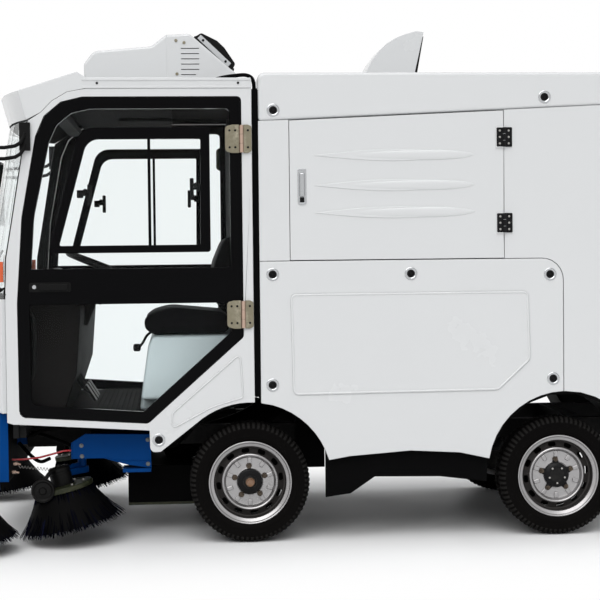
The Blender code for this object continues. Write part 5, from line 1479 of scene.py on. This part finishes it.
# Height and X of the windshield's corners
WINDSHIELD_ROWS = ((1.0, -0.972), (1.17, -0.966), (1.33, -0.938), (1.65, -0.885))
class SWEEPER_OT_front(bpy.types.Operator):
    """Model the headlamps, wiper, grille, mirror glass and the bumper's flanges and bolts."""
    bl_idname = "sweeper.front"
    bl_label = "Front end"
    bl_options = {"REGISTER", "UNDO"}

    def execute(self, context):
        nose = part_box("front_fascia")[0].x - AXLE_X
        turn = turned((nose + 0.018, -0.47, 0.76), -90.0, "Y")
        for stem, profile, steps, closed, slot, look in (
                ("bezel", ((0.084, -0.03), (0.084, 0.01), (0.081, 0.016), (0.075, 0.017), (0.07, 0.012),
                           (0.066, 0.0), (0.066, -0.004), (0.078, -0.03)), 64, True, "silver_steel", "chrome_ring"),
                ("bowl", ((0.0, -0.028), (0.02, -0.026), (0.045, -0.016), (0.066, 0.002), (0.068, 0.0),
                          (0.05, -0.022), (0.02, -0.031), (0.0, -0.032)), 64, False, "silver_steel", "mirror_face"),
                ("bulb", ((0.0, -0.004), (0.008, -0.006), (0.011, -0.012), (0.011, -0.028), (0.0, -0.028)), 32, False,
                 "silver_steel", "plate_blank"),
                ("lens", ((0.0, 0.02), (0.03, 0.0175), (0.055, 0.0115), (0.0695, 0.004), (0.0695, 0.0015),
                          (0.055, 0.0085), (0.03, 0.0145), (0.0, 0.017)), 64, False, "glass", "lamp_glass")):
            both(lathe("headlamp_" + stem, profile, steps, closed, turn), "chassis", slot, look)
        bulge = [(nose - 0.0015 + NOSE_BULGE * (abs(y) / HALF_WIDTH) ** 3.0, y) for y in row(-0.3, 0.06, 11)]
        outline = bulge + [(x + 0.012, y) for x, y in reversed(bulge)]
        slots = [slab("slot", "XY", outline, z, z + 0.014, 0.001, 1) for z in row(0.69, 0.034, 5)]
        settle(fuse("grille_slots", slots), "chassis", "black_paint", "dark_plastic")
        blade = [on_windshield(y, 1.123 + 0.32 * y, 0.012) for y in row(-0.15, 0.05, 9)]
        arm = [on_windshield(0.02, 1.03, 0.006), on_windshield(0.03, 1.06, 0.022),
               (on_windshield(0.05, 1.14, 0.02)[0], 0.05, 1.138)]
        settle(fuse("wiper", [tube("blade", blade, 0.006), tube("arm", eased(arm, 4), 0.006)]), "chassis", "rubber",
               "sheet_rubber")
        low = truck_box("mirror_left")[0]
        both(brick("mirror_glass", low + Vector((0.0435, 0.01, 0.012)), low + Vector((0.0455, 0.16, 0.298)),
                   0.0006, 1), "chassis", "silver_steel", "mirror_face")
        jet = ((-0.955, -0.69, 1.05), (-0.975, -0.695, 1.052), (-0.99, -0.697, 1.046))
        clip = ((-0.972, -0.697, 1.05), (-0.976, -0.699, 1.036), (-0.97, -0.699, 1.026))
        nozzle = [tube("jet", eased(jet, 4), 0.005),
                  drum("ball", (-0.984, -0.697, 1.052), (-0.996, -0.697, 1.04), 0.0085, 0.006, 16, 0.001),
                  tube("clip", eased(clip, 4), 0.003)]
        both(fuse("washer_jet", nozzle), "chassis", "dark_plastic")
        flange = [brick("flange", (-1.052, -0.636, 0.544), (-0.985, -0.59, 0.55), 0.001),
                  brick("flange", (-0.995, -0.636, 0.544), (-0.978, -0.59, 0.592), 0.0015)]
        both(fuse("bumper_flange", flange), "chassis", "blue_paint")
        bolts = heads("bolt", ((-1.03, -0.613), (-1.004, -0.613)), 0.5495, 0.5595, 0.0095, 0.0092, 6, 0.001, "XY")
        bolts += heads("bolt", ((-1.03, -0.5), (-1.03, -0.2)), 0.544, 0.552, 0.01, 0.0095, 6, 0.001, "XY")
        both(fuse("bumper_bolts", bolts), "chassis", "silver_steel", "screw_black")
        plate = slab("front_plate", "YZ", panel((-0.23, 0.23), (0.33, 0.445), 0.008), -1.1375, -1.1305, 0.001)
        settle(plate, "chassis", "silver_steel", "plate_blank")
        return {"FINISHED"}


def on_windshield(y, z, rise):
    """A spot in front of the windshield."""
    corner = WINDSHIELD_ROWS[-1][1]
    for (low, low_x), (high, high_x) in zip(WINDSHIELD_ROWS, WINDSHIELD_ROWS[1:]):
        if z <= high:
            corner = low_x + (high_x - low_x) * (z - low) / (high - low)
            break
    return corner - NOSE_BULGE * (1.0 - abs(y / HALF_WIDTH) ** 3.0) - rise, y, z


class SWEEPER_OT_rear(bpy.types.Operator):
    """Model the tail lamps, the rear door's handle and latches, vents and plate."""
    bl_idname = "sweeper.rear"
    bl_label = "Rear end"
    bl_options = {"REGISTER", "UNDO"}

    def execute(self, context):
        face = TAIL_X
        lamp = face + 0.0276
        for name, low, high, slot, look in (("turn", 0.77, 0.88, "amber_lens", "amber_lens"),
                                            ("tail", 0.64, 0.764, "amber_lens", "red_lens"),
                                            ("reverse", 0.51, 0.634, "glass", "lamp_glass")):
            outline = panel((-0.686, -0.612), (low, high), 0.008)
            both(slab(name + "_lamp", "YZ", outline, lamp, lamp + 0.007, 0.0025, 3), "chassis", slot, look)
        bed = slab("reverse_bed", "YZ", panel((-0.684, -0.614), (0.512, 0.632), 0.007), lamp - 0.001, lamp + 0.002,
                   0.0005, 1)
        both(bed, "chassis", "silver_steel", "mirror_face")
        bow = ((0.001, -0.09), (0.02, -0.087), (0.027, -0.064), (0.027, 0.064), (0.02, 0.087), (0.001, 0.09))
        handle = tube("rear_handle", eased([(face + rise, y, 0.66) for rise, y in bow], 5), 0.0065)
        settle(handle, "tail_door", "black_paint", "dark_plastic")
        gear = []
        for y in (-0.48, 0.48):
            gear.append(slab("latch", "YZ", panel((y - 0.03, y + 0.03), (0.585, 0.64), 0.006), face, face + 0.01,
                             0.002, 3))
            gear.append(brick("tongue", (face + 0.008, y - 0.012, 0.552), (face + 0.014, y + 0.012, 0.62)))
        settle(fuse("rear_latches", gear), "tail_door", "silver_steel", "zinc_steel")
        fins = [brick("fin", (face + 0.0015, -0.3, z), (face + 0.01, 0.3, z + 0.009), 0.0022)
                for z in row(0.8, 0.022, 12)]
        settle(fuse("rear_louvres", fins), "tail_door", "black_paint", "dark_plastic")
        plate = slab("rear_plate", "YZ", panel((-0.23, 0.23), (1.13, 1.245), 0.008), face + 0.002, face + 0.0055,
                     0.0008)
        settle(plate, "tail_door", "silver_steel", "plate_blank")
        eyes = [slab("eye", "YZ", panel((y - 0.02, y + 0.02), (0.395, 0.44), 0.006), face - 0.001, face + 0.0045)
                for y in (-0.667, 0.667)]
        settle(fuse("rear_reflectors", eyes), "chassis", "amber_lens", "red_lens")
        x = truck_box("roof_scoop")[0].x
        grid = [drum("bar", (x + 0.262, y, 1.925), (x + 0.3, y, 2.135), 0.0025, None, 10)
                for y in row(-0.105, 0.035, 7)]
        settle(fuse("outlet_bars", grid), "chassis", "black_paint", "screw_black")
        return {"FINISHED"}


COIL_STEPS = 84
COIL_TURN_STEPS = 7
COIL_RADIUS = 0.006


class SWEEPER_OT_underside(bpy.types.Operator):
    """Model the springs, hoses and their fittings, bracket bolts and folds, suction lip and mud shields below the
    body.
    """
    bl_idname = "sweeper.underside"
    bl_label = "Underside"
    bl_options = {"REGISTER", "UNDO"}

    def execute(self, context):
        spots = ((-0.689, 0.399), (-0.687, 0.355), (-0.417, 0.418), (-0.417, 0.318))
        bolts = heads("bolt", spots, -0.5495, -0.5575, 0.0066, 0.0062, 6, 0.0008)
        bolts += heads("washer", spots, -0.5495, -0.5515, 0.0092, 0.0088, 24, 0.0005)
        both(fuse("bracket_bolts", bolts), "chassis", "silver_steel", "nut_grey")
        crease = ((-0.59, -0.55, 0.346), (-0.545, -0.5502, 0.335), (-0.5, -0.5502, 0.3315),
                  (-0.408, -0.5502, 0.331))
        folds = [tube("crease", eased(crease), 0.0026),
                 brick("fold", (-0.7305, -0.554, 0.347), (-0.7255, -0.549, 0.408), 0.0014)]
        both(fuse("bracket_folds", folds), "chassis", "blue_paint")
        springs = []
        for x in (0.0, WHEELBASE):
            for leaf, reach in enumerate((0.235, 0.185, 0.13)):
                z = WHEEL_Z + 0.044 + leaf * 0.0095
                tip = z + 0.03 * (reach / 0.235) ** 2
                arc = [(p.x, p.y) for p in eased(((x - reach, tip), (x, z), (x + reach, tip)), 5)]
                outline = arc + [(u, v - 0.0075) for u, v in reversed(arc)]
                springs.append(slab("leaf", "XZ", outline, -0.375, -0.335, 0.0008, 1))
            for clamp in (x - 0.022, x + 0.022):
                springs.append(drum("clamp", (clamp, -0.355, WHEEL_Z - 0.036), (clamp, -0.355, WHEEL_Z + 0.074),
                                    0.005, None, 12))
        both(fuse("leaf_springs", springs), "chassis", "dark_iron")
        hoses = [tube("hose", eased(points), 0.0075) for points in (
            ((-0.955, -0.42, 0.4), (-0.9, -0.47, 0.35), (-0.86, -0.5, 0.33), (-0.82, -0.52, 0.345)),
            ((-0.93, -0.33, 0.43), (-0.88, -0.42, 0.44), (-0.8, -0.48, 0.42), (-0.735, -0.53, 0.4)),
            ((-0.94, -0.5, 0.47), (-0.9, -0.52, 0.44), (-0.85, -0.5, 0.46), (-0.76, -0.45, 0.465)),
            ((-0.4, -0.47, 0.42), (-0.33, -0.48, 0.38), (-0.28, -0.44, 0.4), (-0.24, -0.38, 0.44)))]
        both(fuse("brush_hoses", hoses), "chassis", "rubber", "sheet_rubber")
        coil = []
        for k in range(COIL_STEPS + 1):
            angle = 2 * pi * k / COIL_TURN_STEPS
            share = k / COIL_STEPS
            coil.append((-0.948 + 0.153 * share, -0.545 + COIL_RADIUS * cos(angle),
                         0.318 - 0.018 * share + COIL_RADIUS * sin(angle)))
        both(tube("return_spring", coil, 0.0012, 2), "arm_mid_SIDE", "silver_steel", "zinc_steel")
        fittings = []
        for x, z in ((-0.967, 0.33), (-0.974, 0.296)):
            fittings.append(drum("nut", (x, -0.545, z), (x + 0.016, -0.545, z), 0.0085, None, 6, 0.001))
            fittings.append(drum("tail", (x + 0.014, -0.545, z), (x + 0.03, -0.545, z - 0.004), 0.005, 0.004, 16))
        settle(fuse("hose_fittings", fittings), "chassis", "silver_steel", "hinge_barrel")
        low, high = truck_box("suction_mouth")
        lip = brick("suction_lip", (low.x + 0.002, low.y - 0.004, low.z + 0.001),
                    (high.x - 0.002, low.y - 0.0003, low.z + 0.012), 0.0012)
        both(lip, "chassis", "rubber", "disc_olive")
        shields = [brick("shield", (0.212, -0.366, 0.263), (0.333, -0.36, 0.52), 0.001),
                   brick("shield", (0.96, -0.64, 0.3), (0.966, -0.3, 0.52), 0.001)]
        both(fuse("mud_shields", shields), "chassis", "rubber", "sheet_rubber")
        return {"FINISHED"}


# Stage

# The camera of the photograph: yaw, pitch and roll in radians, where it stands and its lens in millimetres
CAMERA_ANGLES = (0.07959, 0.03326, -0.01072)
CAMERA_SPOT = (AXLE_X - 0.286, -6.889, 1.198)
CAMERA_LENS = 92.04
class SWEEPER_OT_stage(bpy.types.Operator):
    """Lay the floor and set the light, the world and the camera."""
    bl_idname = "sweeper.stage"
    bl_label = "Stage"
    bl_options = {"REGISTER", "UNDO"}

    def execute(self, context):
        clear()
        bpy.ops.mesh.primitive_plane_add(size=60.0, location=(0.0, 0.0, 0.0))
        floor = bpy.context.active_object
        floor.name = "studio_floor"
        floor.data.materials.append(floor_material())
        scene = context.scene
        scene.world = studio_world()
        for name, lean, turn, spread, strength in (("overhead", 12.0, 8.0, 60.0, 0.55),
                                                   ("front", 48.0, -16.0, 50.0, 1.5)):
            bpy.ops.object.light_add(type="SUN", location=(0.0, -2.0, 5.0),
                                     rotation=(radians(lean), 0.0, radians(turn)))
            lamp = bpy.context.active_object
            lamp.name = "light_" + name
            lamp.data.angle = radians(spread)
            lamp.data.energy = strength
        bpy.ops.object.camera_add()
        camera = bpy.context.active_object
        camera.name = "photo_camera"
        yaw, pitch, roll = CAMERA_ANGLES
        forward = Vector((sin(yaw) * cos(pitch), cos(yaw) * cos(pitch), -sin(pitch)))
        flat = Vector((cos(yaw), -sin(yaw), 0.0))
        lift = flat.cross(forward)
        right = cos(roll) * flat + sin(roll) * lift
        up = cos(roll) * lift - sin(roll) * flat
        turn = Matrix((right, up, -forward)).transposed().to_4x4()
        camera.matrix_world = Matrix.Translation(CAMERA_SPOT) @ turn
        camera.data.sensor_width = 36.0
        camera.data.lens = CAMERA_LENS
        camera.data.clip_end = 200.0
        scene.camera = camera
        scene.view_settings.view_transform = "Standard"
        return {"FINISHED"}


def floor_material():
    """Pale sealed floor that runs out into the white backdrop."""
    tree, shader = finish("studio_floor_paint", (0.9, 0.9, 0.9), 0.4, tone=0.01, spread=0.05,
                          grain=(60.0, 0.00001), dust=0.0, specular=0.02)
    spot = node(tree, "ShaderNodeTexCoord")
    split = node(tree, "ShaderNodeSeparateXYZ")
    link(tree, spot.outputs["Object"], split.inputs[0])
    joined = node(tree, "ShaderNodeCombineXYZ")
    for label, reach in (("X", 1.6), ("Y", 0.7)):
        past = maths(tree, "SUBTRACT", maths(tree, "ABSOLUTE", split.outputs[label]), reach)
        link(tree, maths(tree, "MAXIMUM", past, 0.0), joined.inputs[label])
    far = node(tree, "ShaderNodeVectorMath", operation="LENGTH")
    link(tree, joined.outputs[0], far.inputs[0])
    fade = node(tree, "ShaderNodeMapRange", interpolation_type="SMOOTHSTEP", From_Min=0.0, From_Max=0.95, To_Min=0.0,
                To_Max=1.0)
    link(tree, far.outputs["Value"], fade.inputs["Value"])
    path = node(tree, "ShaderNodeLightPath")
    seen = maths(tree, "MULTIPLY", fade.outputs[0], path.outputs["Is Camera Ray"])
    white = node(tree, "ShaderNodeEmission", Color=(1.0, 1.0, 1.0, 1.0), Strength=1.0)
    blend = node(tree, "ShaderNodeMixShader")
    link(tree, seen, blend.inputs[0])
    link(tree, shader.outputs[0], blend.inputs[1])
    link(tree, white.outputs[0], blend.inputs[2])
    link(tree, blend.outputs[0], tree.nodes["Material Output"].inputs["Surface"])
    return MATERIALS["studio_floor_paint"]


def studio_world():
    """Soft light all round; the camera, gloss and glass see plain white."""
    world = bpy.data.worlds.new("studio")
    world.use_nodes = True
    tree = world.node_tree
    tree.nodes.clear()
    soft = node(tree, "ShaderNodeBackground", Color=(0.98, 0.99, 1.0, 1.0))
    spot = node(tree, "ShaderNodeTexCoord")
    up = node(tree, "ShaderNodeSeparateXYZ")
    link(tree, spot.outputs["Generated"], up.inputs[0])
    dome = node(tree, "ShaderNodeMapRange", From_Min=0.0, From_Max=1.0, To_Min=0.07, To_Max=0.95)
    link(tree, up.outputs["Z"], dome.inputs["Value"])
    link(tree, dome.outputs[0], soft.inputs["Strength"])
    white = node(tree, "ShaderNodeBackground", Color=(1.0, 1.0, 1.0, 1.0), Strength=1.0)
    path = node(tree, "ShaderNodeLightPath")
    seen = maths(tree, "MAXIMUM", path.outputs["Is Camera Ray"], path.outputs["Is Glossy Ray"])
    seen = maths(tree, "MAXIMUM", seen, path.outputs["Is Transmission Ray"])
    blend = node(tree, "ShaderNodeMixShader")
    end = node(tree, "ShaderNodeOutputWorld")
    link(tree, seen, blend.inputs[0])
    link(tree, soft.outputs[0], blend.inputs[1])
    link(tree, white.outputs[0], blend.inputs[2])
    link(tree, blend.outputs[0], end.inputs["Surface"])
    return world


STEPS = (SWEEPER_OT_skins, SWEEPER_OT_panels, SWEEPER_OT_wheels, SWEEPER_OT_windows, SWEEPER_OT_door_gear,
         SWEEPER_OT_seat, SWEEPER_OT_interior, SWEEPER_OT_hatches, SWEEPER_OT_cooler, SWEEPER_OT_brushes,
         SWEEPER_OT_front, SWEEPER_OT_rear, SWEEPER_OT_underside, SWEEPER_OT_stage)


class SWEEPER_PT_tools(bpy.types.Panel):
    """Lists the steps that build the truck's looks."""
    bl_idname = "SWEEPER_PT_tools"
    bl_label = "Street sweeper"
    bl_space_type = "VIEW_3D"
    bl_region_type = "UI"
    bl_category = "Sweeper"

    def draw(self, context):
        for settings in (colours(), sizes()):
            for key in settings.__annotations__:
                self.layout.prop(settings, key)
        for step in STEPS:
            self.layout.operator(step.bl_idname)


CLASSES = (SweeperColours, SweeperSizes, *STEPS, SWEEPER_PT_tools)


def register():
    for kind in CLASSES:
        bpy.utils.register_class(kind)
    bpy.types.Scene.sweeper_colours = bpy.props.PointerProperty(type=SweeperColours)
    bpy.types.Scene.sweeper_sizes = bpy.props.PointerProperty(type=SweeperSizes)


def unregister():
    del bpy.types.Scene.sweeper_sizes
    del bpy.types.Scene.sweeper_colours
    for kind in reversed(CLASSES):
        bpy.utils.unregister_class(kind)


def main():
    register()
    make_finishes()
    for step in STEPS:
        family, name = step.bl_idname.split(".")
        getattr(getattr(bpy.ops, family), name)()
    clear()


if __name__ == "__main__":
    main()
